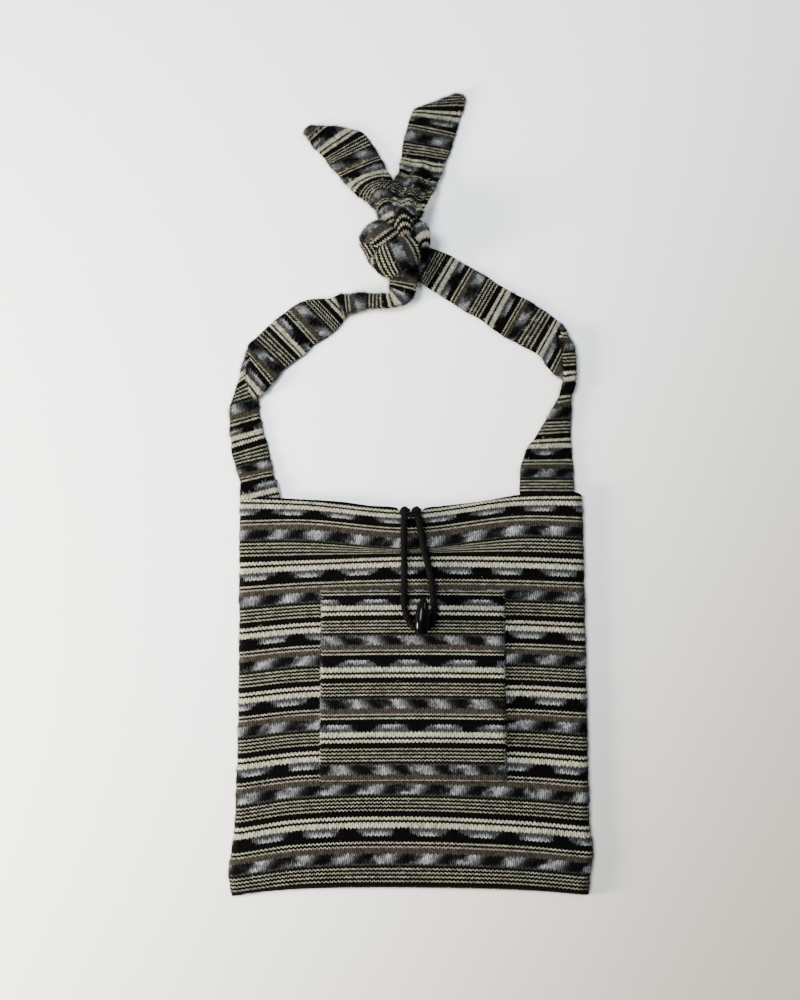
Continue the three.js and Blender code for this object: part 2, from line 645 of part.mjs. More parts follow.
// The knot: both straps' roots and both tails' roots run into wraps drawn tight round its middle.
function strapKnot() {
  const wraps = [FRONT_WRAP, LEFT_WRAP, RIGHT_WRAP].map((rows) =>
    bandGeometry(wrapRoute(rows), { steps: 2 }),
  );
  return fused([
    knotCore(),
    ...wraps,
    strapRoot(-1, LEFT_STRAP, LEFT_STRAP_END),
    strapRoot(1, RIGHT_STRAP, RIGHT_STRAP_END),
    tailRoot(LEFT_TAIL, LEFT_TAIL_START),
    tailRoot(RIGHT_TAIL, RIGHT_TAIL_START),
  ]);
}

// Cord route, in millimetres: from the back panel's inside up over the mouth, down the front on
// the toggle's left, round behind the toggle, and back up on its right.
const CORD_ROUTE = [
  [-5.8, 160.6, 5.4],
  [-5.9, 160.4, 8.2],
  [-6.0, 157.2, 11.1],
  [-6.2, 150.0, 12.6],
  [-6.4, 140.0, 13.1],
  [-6.5, 126.0, 13.3],
  [-6.2, 112.0, 13.7],
  [-5.6, 100.0, 15.7],
  [-4.9, 90.0, 17.1],
  [-4.3, 82.0, 17.1],
  [-3.4, 74.0, 17.1],
  [-1.0, 66.2, 17.1],
  [3.2, 60.6, 17.1],
  [8.2, 58.6, 17.1],
  [13.4, 60.6, 17.1],
  [17.6, 66.2, 17.1],
  [19.2, 74.0, 17.1],
  [18.6, 82.0, 17.1],
  [17.6, 90.0, 17.1],
  [16.9, 100.0, 15.7],
  [14.2, 112.0, 13.7],
  [10.9, 126.0, 13.3],
  [8.4, 140.0, 13.1],
  [6.5, 150.0, 12.6],
  [5.2, 157.2, 11.1],
  [4.7, 160.4, 8.2],
  [4.6, 160.6, 5.4],
];
const CORD_STEPS = 60;
const CORD_SIDES = 8;

function closureLoop() {
  const path = new THREE.CatmullRomCurve3(CORD_ROUTE.map((point) => new THREE.Vector3(...point)));
  const section = new THREE.Shape();
  section.absarc(0, 0, CORD_DIAMETER / 2, 0, 2 * Math.PI);
  return new THREE.ExtrudeGeometry(section, {
    extrudePath: path,
    steps: CORD_STEPS,
    curveSegments: CORD_SIDES / 2,
    bevelEnabled: false,
  });
}

// Toggle: a long bead, slim at its upper end. Radii are shares of its own, along its length.
const TOGGLE_PROFILE = [
  { along: 0.0, radius: 0.0 },
  { along: 0.02, radius: 0.45 },
  { along: 0.08, radius: 0.78 },
  { along: 0.2, radius: 0.96 },
  { along: 0.4, radius: 1.0 },
  { along: 0.62, radius: 0.9 },
  { along: 0.8, radius: 0.68 },
  { along: 0.92, radius: 0.42 },
  { along: 0.98, radius: 0.2 },
  { along: 1.0, radius: 0.0 },
];
const POCKET_TOP = frontTop(TOGGLE_X, TOGGLE_Y) + CLEARANCE + POCKET_LOFT;
const TOGGLE_UNDER = POCKET_TOP + CORD_DIAMETER + 3 * CLEARANCE;

function toggle() {
  const profile = TOGGLE_PROFILE.map(
    (row) => new THREE.Vector2((row.radius * TOGGLE_DIAMETER) / 2, (row.along - 0.5) * TOGGLE_LENGTH),
  );
  const mesh = new THREE.Mesh(new THREE.LatheGeometry(profile, 16));
  mesh.rotation.z = THREE.MathUtils.degToRad(-TOGGLE_LEAN);
  mesh.position.set(TOGGLE_X, TOGGLE_Y, TOGGLE_UNDER + TOGGLE_DIAMETER / 2);
  return mesh;
}

// The shank that holds the toggle clear of the pocket, with room for the cord behind it.
function toggleShank() {
  const from = POCKET_TOP + CLEARANCE;
  const to = TOGGLE_UNDER - CLEARANCE;
  const geometry = new THREE.CylinderGeometry(SHANK_DIAMETER / 2, SHANK_DIAMETER / 2, to - from, 10);
  geometry.rotateX(Math.PI / 2);
  geometry.translate(TOGGLE_X, TOGGLE_Y, (from + to) / 2);
  return geometry;
}

const knit = (color) => new THREE.MeshStandardMaterial({ color, roughness: 0.95, metalness: 0 });
const gloss = (color) => new THREE.MeshStandardMaterial({ color, roughness: 0.18, metalness: 0 });

function piece(name, shape, material) {
  const mesh = shape.isMesh ? shape : new THREE.Mesh(shape);
  mesh.name = name;
  mesh.material = material;
  return mesh;
}

const group = new THREE.Group();
group.add(
  piece("back_panel", backPanel(), knit(YARN_DARK)),
  piece("front_panel", frontPanel(), knit(YARN_MIXED)),
  piece("pocket", pocket(), knit(YARN_PALE)),
  piece("strap_left", strap(-1, LEFT_STRAP, LEFT_STRAP_END), knit(YARN_MIXED)),
  piece("strap_right", strap(1, RIGHT_STRAP, RIGHT_STRAP_END), knit(YARN_MIXED)),
  piece("strap_knot", strapKnot(), knit(YARN_DARK)),
  piece("tail_left", tail(LEFT_TAIL, LEFT_TAIL_START), knit(YARN_PALE)),
  piece("tail_right", tail(RIGHT_TAIL, RIGHT_TAIL_START), knit(YARN_PALE)),
  piece("closure_loop", closureLoop(), knit(CORD_BLACK)),
  piece("toggle", toggle(), gloss(CORD_BLACK)),
  piece("toggle_shank", toggleShank(), knit(CORD_BLACK)),
);

export default group;
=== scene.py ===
# %% [markdown]
# # A knit crossbody bag, lying on its back
#
# The bag is machine-knit cloth: a front and a back joined at three sides, a patch pocket, two straps
# tied in an overhand knot, and a black cord loop hooked over a long toggle. Nearly all that the eye
# reads is yarn: stripes one to three rows deep, each with the zigzag edge of knit stitches, and
# brushed, space-dyed rows that look like small clouds.
#
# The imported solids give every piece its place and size. They stay where they are, and each soft one
# is replaced by a finer mesh of the same form that carries the yarn.

from math import cos, pi, radians, sin

import bpy
import numpy as np
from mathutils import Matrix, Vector


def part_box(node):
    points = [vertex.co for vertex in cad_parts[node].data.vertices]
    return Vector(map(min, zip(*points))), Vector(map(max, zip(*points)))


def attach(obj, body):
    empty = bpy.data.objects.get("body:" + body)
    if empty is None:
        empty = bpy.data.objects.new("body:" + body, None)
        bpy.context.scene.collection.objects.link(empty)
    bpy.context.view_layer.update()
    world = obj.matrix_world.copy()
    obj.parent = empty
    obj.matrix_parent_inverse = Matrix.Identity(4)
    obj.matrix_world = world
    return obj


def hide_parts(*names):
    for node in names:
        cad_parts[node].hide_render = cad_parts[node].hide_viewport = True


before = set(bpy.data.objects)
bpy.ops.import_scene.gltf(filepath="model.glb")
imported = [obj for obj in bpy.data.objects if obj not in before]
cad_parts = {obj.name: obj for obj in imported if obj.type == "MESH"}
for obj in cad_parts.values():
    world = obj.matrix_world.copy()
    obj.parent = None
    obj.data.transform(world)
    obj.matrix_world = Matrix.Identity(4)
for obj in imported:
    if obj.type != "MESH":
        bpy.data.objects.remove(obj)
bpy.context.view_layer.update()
MM = 0.001
print("solids:", ", ".join(sorted(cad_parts)))

# %% [markdown]
# ## Camera
#
# The photograph looks almost straight down. The sides of the bag lean together a little towards the
# mouth, which tells that the camera tilts by about six degrees. The width of the body in the picture
# then gives the distance for a phone's lens. A camera set by such facts keeps the outline true, where
# one that is nudged until it looks right goes wrong at the far ends.

# %% Camera
CAMERA_PLACE = (-0.00985, 0.09054, 0.75270)
CAMERA_TILT = radians(6)
LENS_MM = 31.07
FOCAL_PX = 863

camera = bpy.data.objects.new("camera", bpy.data.cameras.new("camera"))
bpy.context.scene.collection.objects.link(camera)
camera.location = CAMERA_PLACE
camera.rotation_euler = (CAMERA_TILT, 0, 0)
camera.data.lens = LENS_MM
bpy.context.scene.camera = camera
print("camera", CAMERA_PLACE, "m, lens", LENS_MM, "mm")

# %% [markdown]
# ## Meshes from arrays
#
# Every piece of cloth here is a grid of points that was worked out first, so one small function turns
# points and faces into an object. It also stores a UV map that counts stitches across and rows along:
# the yarn's material reads nothing else, so stripes follow the cloth round each fold.

# %% A piece from points, faces and stitch counts
def make_piece(name, points, faces, stitches=None, material=None, smooth=True):
    mesh = bpy.data.meshes.new(name)
    mesh.from_pydata(np.asarray(points, float).tolist(), [], [list(face) for face in faces])
    mesh.polygons.foreach_set("use_smooth", np.full(len(mesh.polygons), smooth))
    if stitches is not None:
        corner = np.zeros(len(mesh.loops), int)
        mesh.loops.foreach_get("vertex_index", corner)
        layer = mesh.uv_layers.new(name="stitches")
        layer.data.foreach_set("uv", np.asarray(stitches, float)[corner].ravel())
    if material is not None:
        mesh.materials.append(material)
    mesh.update()
    piece = bpy.data.objects.new(name, mesh)
    bpy.context.scene.collection.objects.link(piece)
    return piece


def triangles(piece):
    piece.data.calc_loop_triangles()
    return len(piece.data.loop_triangles)


# %% [markdown]
# ## Lines and tubes
#
# Cord and thread are round, so they are tubes: a ring of points is carried along a smooth line. The
# ring must not spin on the way, or the faces would twist, so each ring's direction is the last one's,
# laid square to the line again. Blender's own curve bevel does the same, but its points couldn't be
# woven into a braid before they become a mesh.

# %% Smooth lines and tubes
def unit(vectors):
    return vectors / np.maximum(np.linalg.norm(vectors, axis=-1, keepdims=True), 1e-12)


def run_of(line):
    """The length run so far at each point of a line."""
    return np.concatenate([[0], np.cumsum(np.linalg.norm(np.diff(line, axis=0), axis=1))])


def smooth_curve(points, count):
    """A Catmull-Rom curve through a few points, as count points spaced evenly along it."""
    points = np.asarray(points, float)
    padded = np.vstack([2 * points[0] - points[1], points, 2 * points[-1] - points[-2]])
    t = np.linspace(0, 1, 40, endpoint=False)[:, None]
    runs = []
    for a, b, c, d in zip(padded, padded[1:], padded[2:], padded[3:]):
        runs.append(b + 0.5 * t * (c - a + t * (2 * a - 5 * b + 4 * c - d + t * (3 * (b - c) + d - a))))
    line = np.vstack([*runs, points[-1:]])
    along = run_of(line)
    even = np.linspace(0, along[-1], count)
    return np.stack([np.interp(even, along, line[:, k]) for k in range(line.shape[1])], axis=1)


def frames_along(line):
    """Two unit vectors across a line at each of its points, carried along without twist."""
    tangents = unit(np.gradient(line, axis=0))
    first = np.cross(tangents[0], [0, 0, 1])
    if np.linalg.norm(first) < 0.1:
        first = np.cross(tangents[0], [1, 0, 0])
    side = [first / np.linalg.norm(first)]
    for tangent in tangents[1:]:
        carried = side[-1] - tangent * (side[-1] @ tangent)
        side.append(carried / np.linalg.norm(carried))
    side = np.array(side)
    return side, np.cross(tangents, side)


def tube(line, radius, sides):
    """Points and faces of a closed tube round a line."""
    across, up = frames_along(line)
    turn = np.linspace(0, 2 * pi, sides, endpoint=False)[None, :, None]
    ring = np.cos(turn) * across[:, None] * radius + np.sin(turn) * up[:, None] * radius
    points = (line[:, None] + ring).reshape(-1, 3)
    faces = []
    for start in range(0, (len(line) - 1) * sides, sides):
        for k in range(sides):
            beside = (k + 1) % sides
            faces.append([start + k, start + beside, start + sides + beside, start + sides + k])
    last = (len(line) - 1) * sides
    faces.append(list(range(sides))[::-1])
    faces.append([last + k for k in range(sides)])
    return points, faces


def joined(parts):
    """Several (points, faces) as one."""
    points, faces, start = [], [], 0
    for part_points, part_faces in parts:
        points.append(np.asarray(part_points))
        faces += [[start + corner for corner in face] for face in part_faces]
        start += len(part_points)
    return np.vstack(points), faces

# %% [markdown]
# ## The closure's cord
#
# A limp black braid about 6 mm thick leaves the bag's inside, crosses the mouth, runs down the front,
# round behind the toggle and back. Its route follows the solid's within 3 mm. The braid could be a
# bump on a tube, but its edge would stay straight, and real braid has a knobbly one. Here four strands
# wind each way and dive under each other at every crossing.

# %% Cord route and braid
CORD_ROUTE_MM = [
    (-5.8, 160.6, 5.4),
    (-5.9, 160.4, 8.2),
    (-6.0, 157.2, 11.1),
    (-6.2, 150.0, 12.6),
    (-6.4, 140.0, 13.1),
    (-6.5, 126.0, 13.3),
    (-6.2, 112.0, 13.7),
    (-6.3, 100.0, 15.7),
    (-6.5, 90.0, 17.1),
    (-6.5, 82.0, 17.1),
    (-5.6, 74.0, 17.1),
    (-2.8, 66.2, 17.1),
    (2.4, 60.4, 17.1),
    (8.2, 58.6, 17.1),
    (13.4, 60.6, 17.1),
    (17.6, 66.2, 17.1),
    (19.2, 74.0, 17.1),
    (18.6, 82.0, 17.1),
    (17.6, 90.0, 17.1),
    (16.9, 100.0, 15.7),
    (14.2, 112.0, 13.7),
    (10.9, 126.0, 13.3),
    (8.4, 140.0, 13.1),
    (6.5, 150.0, 12.6),
    (5.2, 157.2, 11.1),
    (4.7, 160.4, 8.2),
    (4.6, 160.6, 5.4),
]
CORD_DIAMETER = 6 * MM
RING_STEP = 0.7 * MM
BRAID_TURN = 15 * MM
STRANDS_EACH_WAY = 4


def braid(route, diameter):
    rings = smooth_curve(route, int(run_of(route)[-1] / RING_STEP))
    across, up = frames_along(rings)
    turn = 2 * pi * run_of(rings) / BRAID_TURN
    weave = np.cos(STRANDS_EACH_WAY * turn)
    parts = [tube(rings, 0.3 * diameter, 10)]
    for way in (1, -1):
        radius = diameter * (0.35 + 0.045 * way * weave)
        for strand in range(STRANDS_EACH_WAY):
            angle = way * turn + 2 * pi * strand / STRANDS_EACH_WAY
            out = np.cos(angle)[:, None] * across + np.sin(angle)[:, None] * up
            parts.append(tube(rings + radius[:, None] * out, 0.145 * diameter, 6))
    return rings, joined(parts)


cord_rings, (cord_points, cord_faces) = braid(np.array(CORD_ROUTE_MM) * MM, CORD_DIAMETER)
closure_cord = make_piece("closure_cord", cord_points, cord_faces)
cord_length = run_of(cord_rings)[-1]
print(f"cord {cord_length / MM:.0f} mm long, {triangles(closure_cord)} triangles")

# %% [markdown]
# ## Working out a material in nodes
#
# The yarn's pattern is arithmetic on stitch and row numbers. Writing each Math node by hand hides the
# idea, so a small class lets a node's output be added, multiplied, floored or ramped as a number is.
# Each step still makes one ordinary node, which shows in the shader editor.

# %% Arithmetic on sockets
class Field:
    """A number that varies over the cloth."""

    def __init__(self, tree, socket):
        self.tree, self.socket = tree, socket

    def node(self, operation, *others, clamp=False):
        node = self.tree.nodes.new("ShaderNodeMath")
        node.operation, node.use_clamp = operation, clamp
        for slot, value in zip(node.inputs, (self, *others)):
            if isinstance(value, Field):
                self.tree.links.new(value.socket, slot)
            else:
                slot.default_value = value
        return Field(self.tree, node.outputs[0])

    def __add__(self, other):
        return self.node("ADD", other)

    def __sub__(self, other):
        return self.node("SUBTRACT", other)

    def __mul__(self, other):
        return self.node("MULTIPLY", other)

    def __truediv__(self, other):
        return self.node("DIVIDE", other)

    def floor(self):
        return self.node("FLOOR")

    def fract(self):
        return self.node("FRACT")

    def absolute(self):
        return self.node("ABSOLUTE")

    def sine(self):
        return self.node("SINE")

    def power(self, exponent):
        return self.node("POWER", exponent)

    def clamped(self):
        return self.node("ADD", 0.0, clamp=True)

    def above(self, limit):
        return self.node("GREATER_THAN", limit)

    def below(self, limit):
        return self.node("LESS_THAN", limit)

    def step(self, low, high):
        """0 below low and 1 above high, smooth between."""
        node = self.tree.nodes.new("ShaderNodeMapRange")
        node.interpolation_type = "SMOOTHSTEP"
        self.tree.links.new(self.socket, node.inputs["Value"])
        node.inputs["From Min"].default_value = low
        node.inputs["From Max"].default_value = high
        return Field(self.tree, node.outputs["Result"])


def noise(tree, x, y, detail=2.0, seed=0.0, roughness=0.5):
    """Smooth noise over a plane of two fields, about -1 to 1."""
    place = tree.nodes.new("ShaderNodeCombineXYZ")
    tree.links.new(x.socket, place.inputs[0])
    tree.links.new(y.socket, place.inputs[1])
    place.inputs[2].default_value = seed
    node = tree.nodes.new("ShaderNodeTexNoise")
    node.inputs["Scale"].default_value = 1.0
    node.inputs["Detail"].default_value = detail
    node.inputs["Roughness"].default_value = roughness
    tree.links.new(place.outputs[0], node.inputs["Vector"])
    return (Field(tree, node.outputs["Fac"]) - 0.5) * 2.0


def speckle(tree, x, y):
    """A number from 0 to 1 for each pair of whole numbers, with no link to its neighbours."""
    place = tree.nodes.new("ShaderNodeCombineXYZ")
    tree.links.new(x.socket, place.inputs[0])
    tree.links.new(y.socket, place.inputs[1])
    node = tree.nodes.new("ShaderNodeTexWhiteNoise")
    node.noise_dimensions = "2D"
    tree.links.new(place.outputs[0], node.inputs["Vector"])
    return Field(tree, node.outputs["Value"])


def ramp(tree, fac, stops, interpolation="LINEAR"):
    """A colour ramp from (position, (red, green, blue, alpha)) stops."""
    node = tree.nodes.new("ShaderNodeValToRGB")
    node.color_ramp.interpolation = interpolation
    elements = node.color_ramp.elements
    while len(elements) < len(stops):
        elements.new(0.5)
    for element, (position, colour) in zip(elements, stops):
        element.position = position
        element.color = colour
    tree.links.new(fac.socket, node.inputs[0])
    return node


def mix_colour(tree, share, under, over, blend="MIX"):
    node = tree.nodes.new("ShaderNodeMix")
    node.data_type, node.blend_type = "RGBA", blend
    for value, slot in ((share, node.inputs[0]), (under, node.inputs[6]), (over, node.inputs[7])):
        if isinstance(value, Field):
            tree.links.new(value.socket, slot)
        elif isinstance(value, bpy.types.NodeSocket):
            tree.links.new(value, slot)
        else:
            slot.default_value = value
    return node.outputs[2]


# %% [markdown]
# ## The stripe chart
#
# The stripe repeats every 36 rows. Read down the front from a fine black line between two cream rows:
# three taupe rows, five space-dyed rows, seven rows of alternate black and cream, a black band, cream
# again, and a brushed grey band that ends in black peaks. A chart of runs, each a yarn and a number
# of rows, is how a knitter would note it. It becomes one colour ramp with hard steps. A yarn's fourth
# number says how it is dyed: 0 is plain, 0.5 brushed and 1 space-dyed.
#
# The real stitches are about 2.4 mm wide. At the photograph's size that is less than three pixels, and
# the cleaning of the render's noise irons such a small zigzag flat. So stitches are drawn a little wide,
# which keeps the look, while the rows keep their real depth.

# %% Yarns and chart
ROW = 1.504 * MM
STITCH, BAND_STITCH = 3.3 * MM, 2.7 * MM

YARNS = {
    "cream": (0.57, 0.54, 0.405, 0.0),
    "black": (0.0014, 0.0013, 0.0010, 0.0),
    "taupe": (0.052, 0.044, 0.034, 0.0),
    "charcoal": (0.045, 0.047, 0.038, 0.0),
    "clouds": (0.10, 0.10, 0.10, 1.0),
    "brushed": (0.20, 0.205, 0.18, 0.5),
}
CHART = [
    ("cream", 1),
    ("black", 1),
    ("cream", 1),
    ("taupe", 3),
    ("clouds", 5),
    ("charcoal", 1),
    ("black", 1),
    ("cream", 1),
    ("black", 1),
    ("cream", 1),
    ("black", 1),
    ("cream", 1),
    ("black", 1),
    ("cream", 1),
    ("black", 3),
    ("cream", 2),
    ("black", 1),
    ("cream", 3),
    ("brushed", 4),
    ("black", 3),
]
REPEAT = sum(rows for _, rows in CHART)
BRUSHED_START = 29
print("rows in a repeat:", REPEAT)


def chart_stops():
    stops, row = [], 0
    for yarn, rows in CHART:
        stops.append((row / REPEAT, YARNS[yarn]))
        row += rows
    return stops


# %% [markdown]
# ## Where a stitch lies
#
# A knit stitch is a V: two slanted legs that meet at the bottom. Adding the distance from a stitch's
# middle to the row number slants every row boundary into that V, which gives the zigzag edges of the
# stripes for nothing. Hairy yarn spills over its row, so the brushed rows get ragged edges as well.

# %% Stitches and rows
FUZZ_STOPS = [
    (0, 0.15),
    (4.5, 0.3),
    (6, 1),
    (11, 1),
    (12, 0.15),
    (27.5, 0.15),
    (29, 1),
    (33, 1),
    (34.5, 0.2),
]
SLANT_ROWS = 1.2


def knit_fields(tree):
    """The stitch and row numbers at a place on the cloth, with the noises that unsettle them."""
    counts = tree.nodes.new("ShaderNodeUVMap")
    counts.uv_map = "stitches"
    split = tree.nodes.new("ShaderNodeSeparateXYZ")
    tree.links.new(counts.outputs[0], split.inputs[0])
    across, down = Field(tree, split.outputs[0]), Field(tree, split.outputs[1])
    slack = noise(tree, across * 0.23, down * 0.31, seed=3.0)
    hairy = noise(tree, across * 2.6, down * 2.1, detail=3.0, seed=7.0)
    streak = noise(tree, across * 2.9, down * 0.42, detail=2.5, seed=5.0)
    fuzz_stops = [(row / REPEAT, (value, value, value, 1)) for row, value in FUZZ_STOPS]
    fuzz = Field(tree, ramp(tree, (down / float(REPEAT)).fract(), fuzz_stops).outputs["Color"])
    stitch = across + slack * 0.12 + hairy * 0.05
    slant = (stitch.fract() - 0.5).absolute() * 2.0
    ragged = slack * 0.1 + hairy * 0.16 + streak * fuzz * 0.9
    course = down + (slant - 0.5) * SLANT_ROWS + ragged
    return across, stitch, course, hairy, streak


# %% [markdown]
# ## Plain and space-dyed yarn
#
# A plain row has one colour, and dark yarn closes a little over the light row beside it. Space-dyed
# yarn changes along its length instead: light and dark patches lie some twelve stitches apart and
# shift from row to row. In the brushed rows they grow into white tongues and black peaks.
# Each leg of a stitch takes one tone, because a leg is one piece of yarn. All these tones are one
# number, which a ramp turns into colours from black over grey to a warm white.

# %% Colour of the yarn
CLOUD_STITCHES, PEAK_STITCHES = 10.6, 13.4
DARK_SPREAD = 0.33
TONES = [
    (0.00, (0.0010, 0.0010, 0.0011, 1)),
    (0.22, (0.004, 0.004, 0.005, 1)),
    (0.40, (0.030, 0.031, 0.031, 1)),
    (0.58, (0.092, 0.096, 0.099, 1)),
    (0.76, (0.20, 0.206, 0.218, 1)),
    (1.00, (0.58, 0.575, 0.54, 1)),
]


def plain_colour(tree, course):
    """The chart's colour, darkened where the next row's yarn is darker."""
    sides = []
    for way in (-1, 1):
        in_repeat = ((course + way * DARK_SPREAD) / float(REPEAT)).fract()
        sides.append(ramp(tree, in_repeat, chart_stops(), "CONSTANT").outputs["Color"])
    return mix_colour(tree, 1.0, *sides, "DARKEN")


def dyed_tones(tree, leg_count, row, in_repeat, streak):
    """The tone of the clouds and of the brushed rows' peaks, each as one number."""
    repeat = (row / float(REPEAT)).floor()
    patches = noise(tree, leg_count * 0.3 + row * 0.05, row * 0.24 + repeat * 3.7, detail=2.0, seed=11.0)
    clouds = (leg_count * (2 * pi / CLOUD_STITCHES) + repeat * 2.4 + row * 0.22 + patches * 1.6).sine()
    clouds = clouds * 0.36 + patches * 0.42 + 0.46
    depth = ((in_repeat * float(REPEAT) - BRUSHED_START - 0.5) / 3.0).clamped()
    wave = (leg_count * (2 * pi / PEAK_STITCHES) + repeat * 4.1 + patches * 1.3).sine()
    white = wave.step(0.1, 0.7) * depth.step(0.3, 0.9)
    hump = (wave * -1.0 - depth * -0.6 + streak * 0.25).step(0.55, 1.0)
    peaks = depth * 0.12 + 0.45 + white * 0.34 - hump * 0.5
    return clouds, peaks


def yarn_colour(tree, stitch, course, hairy, streak):
    row = course.floor()
    in_repeat = (row / float(REPEAT)).fract() + 0.5 / REPEAT
    dyed = Field(tree, ramp(tree, in_repeat, chart_stops(), "CONSTANT").outputs["Alpha"])
    clouds, peaks = dyed_tones(tree, (stitch * 2.0).floor() * 0.5, row, in_repeat, streak)
    is_brushed = (dyed - 0.5).absolute().below(0.2)
    tone = peaks * is_brushed + clouds * (is_brushed * -1.0 + 1.0) + hairy * 0.14 + streak * 0.22
    space_dyed = ramp(tree, tone, TONES).outputs["Color"]
    return mix_colour(tree, dyed.above(0.2), plain_colour(tree, course), space_dyed)


# %% [markdown]
# ## Knit cloth
#
# The same two numbers, how far across a leg and how far along it, give each leg its round height. The
# height makes the bump, and it also darkens the gaps, where little light gets in. Every leg is a touch
# lighter or darker than the next. Wool scatters light at grazing angles, so the shader has a trace of
# sheen and hardly any gloss.

# %% Knit material
STITCH_RELIEF = 0.7 * MM


def grey_socket(tree, field):
    node = tree.nodes.new("ShaderNodeCombineColor")
    for slot in node.inputs[:3]:
        tree.links.new(field.socket, slot)
    return node.outputs[0]


def knit_material(name):
    material = bpy.data.materials.new(name)
    material.use_nodes = True
    tree = material.node_tree
    shader = tree.nodes["Principled BSDF"]
    across, stitch, course, hairy, streak = knit_fields(tree)
    leg = ((stitch * 2.0).fract() * pi).sine().power(0.6)
    height = leg * ((course.fract() * pi).sine().power(0.6) * 0.65 + 0.35)
    fibre = noise(tree, across * 7.0, course * 1.6, detail=3.0, seed=19.0, roughness=0.65)
    speck = speckle(tree, (stitch * 2.0).floor(), course.floor())
    shade = (height * (height * 0.58 + 0.38) + 0.03 + fibre * 0.25) * (speck * 0.8 + 0.5)
    colour = yarn_colour(tree, stitch, course, hairy, streak)
    shaded = mix_colour(tree, 1.0, colour, grey_socket(tree, shade), "MULTIPLY")
    tree.links.new(shaded, shader.inputs["Base Color"])

    relief = tree.nodes.new("ShaderNodeBump")
    relief.inputs["Strength"].default_value = 0.8
    relief.inputs["Distance"].default_value = STITCH_RELIEF
    tree.links.new((height + fibre * 0.35).socket, relief.inputs["Height"])
    tree.links.new(relief.outputs[0], shader.inputs["Normal"])
    shader.inputs["Roughness"].default_value = 0.95
    shader.inputs["Specular IOR Level"].default_value = 0.02
    shader.inputs["Sheen Weight"].default_value = 0.012
    shader.inputs["Sheen Roughness"].default_value = 0.5
    return material


striped_knit = knit_material("striped_knit")
print("knit material:", len(striped_knit.node_tree.nodes), "nodes")

# %% [markdown]
# ## The bag's outline
#
# The body is a little wider at its foot, its bottom edge arches up between the corners, and the mouth
# dips where the cord pulls it down. Each edge is a short table of shares of the bag's size, read by a
# smooth curve. They are the tables that the solid was made from, with a finer unevenness at the sides,
# where the seam tugs at the rows.

# %% Sizes and edges
BAG_WIDTH, BAG_HEIGHT = 300 * MM, 330 * MM
print("bag:", BAG_WIDTH, "by", BAG_HEIGHT, "m before its uneven edges")
WALL = 2 * MM
LOFT = 7.4 * MM
EDGE_ROUND = 8 * MM
FRONT_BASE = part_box("front_panel")[0].z
HALF_WIDTH, HALF_HEIGHT = BAG_WIDTH / 2, BAG_HEIGHT / 2

SIDES = {"up": [0, 0.06, 0.1, 0.17, 0.5, 0.93, 1]}
SIDES["left"] = [1.003, 1.022, 1.013, 0.994, 0.985, 0.998, 0.998]
SIDES["right"] = [0.98, 0.998, 1.013, 0.997, 0.996, 0.996, 0.992]
BOTTOM_ARCH = {
    "across": [-1.0, -0.9, -0.6, 0.0, 0.65, 1.0],
    "rise": [0.006, 0.015, 0.025, 0.028, 0.021, 0.01],
}
MOUTH_LINE = {
    "across": [-1.0, -0.86, -0.64, -0.41, -0.24, -0.08, -0.055, 0.055,
               0.08, 0.165, 0.4, 0.63, 0.8, 0.95, 1.0],
    "rise": [0.008, 0.018, 0.013, 0.006, -0.005, -0.011, -0.025, -0.026,
             -0.0125, -0.007, 0.006, 0.025, 0.033, 0.033, 0.026],
}
DENTS = [
    {"across": 0.02, "up": 1.0, "reach_x": 0.11, "reach_y": 0.13, "depth": 0.5},
    {"across": -0.32, "up": 0.79, "reach_x": 0.3, "reach_y": 0.035, "depth": 0.13},
    {"across": -0.35, "up": 0.9, "reach_x": 0.3, "reach_y": 0.05, "depth": -0.07},
    {"across": 0.42, "up": 0.8, "reach_x": 0.25, "reach_y": 0.04, "depth": 0.09},
    {"across": -0.75, "up": -0.6, "reach_x": 0.12, "reach_y": 0.35, "depth": 0.06},
    {"across": 0.72, "up": -0.2, "reach_x": 0.1, "reach_y": 0.5, "depth": 0.06},
    {"across": 0.0, "up": -0.8, "reach_x": 0.5, "reach_y": 0.09, "depth": 0.07},
]


def read(table, key, column, where):
    """A smooth value between the rows of a table."""
    x, y = np.array(table[key], float), np.array(table[column], float)
    where = np.clip(where, x[0], x[-1])
    i = np.clip(np.searchsorted(x, where, side="left") - 1, 0, len(x) - 2)
    before, after = np.maximum(np.arange(len(x)) - 1, 0), np.minimum(np.arange(len(x)) + 1, len(x) - 1)
    slope = (y[after] - y[before]) / (x[after] - x[before])
    span = x[i + 1] - x[i]
    t = (where - x[i]) / span
    start, end, leave, arrive = y[i], y[i + 1], slope[i] * span, slope[i + 1] * span
    curve = (3 * (end - start) - 2 * leave - arrive) * t**2
    return start + leave * t + curve + (2 * (start - end) + leave + arrive) * t**3


def side_x(side, up):
    """A side edge of the body at shares of its height; side is -1 on the left and 1 on the right."""
    uneven = 0.22 * MM * (np.sin(up * 53 + side) + np.sin(up * 190 + 2 * side))
    return side * (HALF_WIDTH * read(SIDES, "up", "left" if side < 0 else "right", up) + uneven)


def bottom_y(across):
    return BAG_HEIGHT * (read(BOTTOM_ARCH, "across", "rise", across) - 0.5)


def mouth_y(across):
    return BAG_HEIGHT * (read(MOUTH_LINE, "across", "rise", across) + 0.5)


def loft_share(x, y):
    share = 1.0
    for dent in DENTS:
        dx = (x / HALF_WIDTH - dent["across"]) / dent["reach_x"]
        dy = (y / HALF_HEIGHT - dent["up"]) / dent["reach_y"]
        share = share - dent["depth"] * np.exp(-dx * dx - dy * dy)
    return share


# %% [markdown]
# ## How the rows run
#
# Knit rows are never ruled lines. They droop at the sides, where the seams hold the cloth back, and
# follow the mouth where it dips. A few guide rows are enough: for each, its number in the chart and
# where it crosses five places between the sides. Every other row lies between its neighbours.

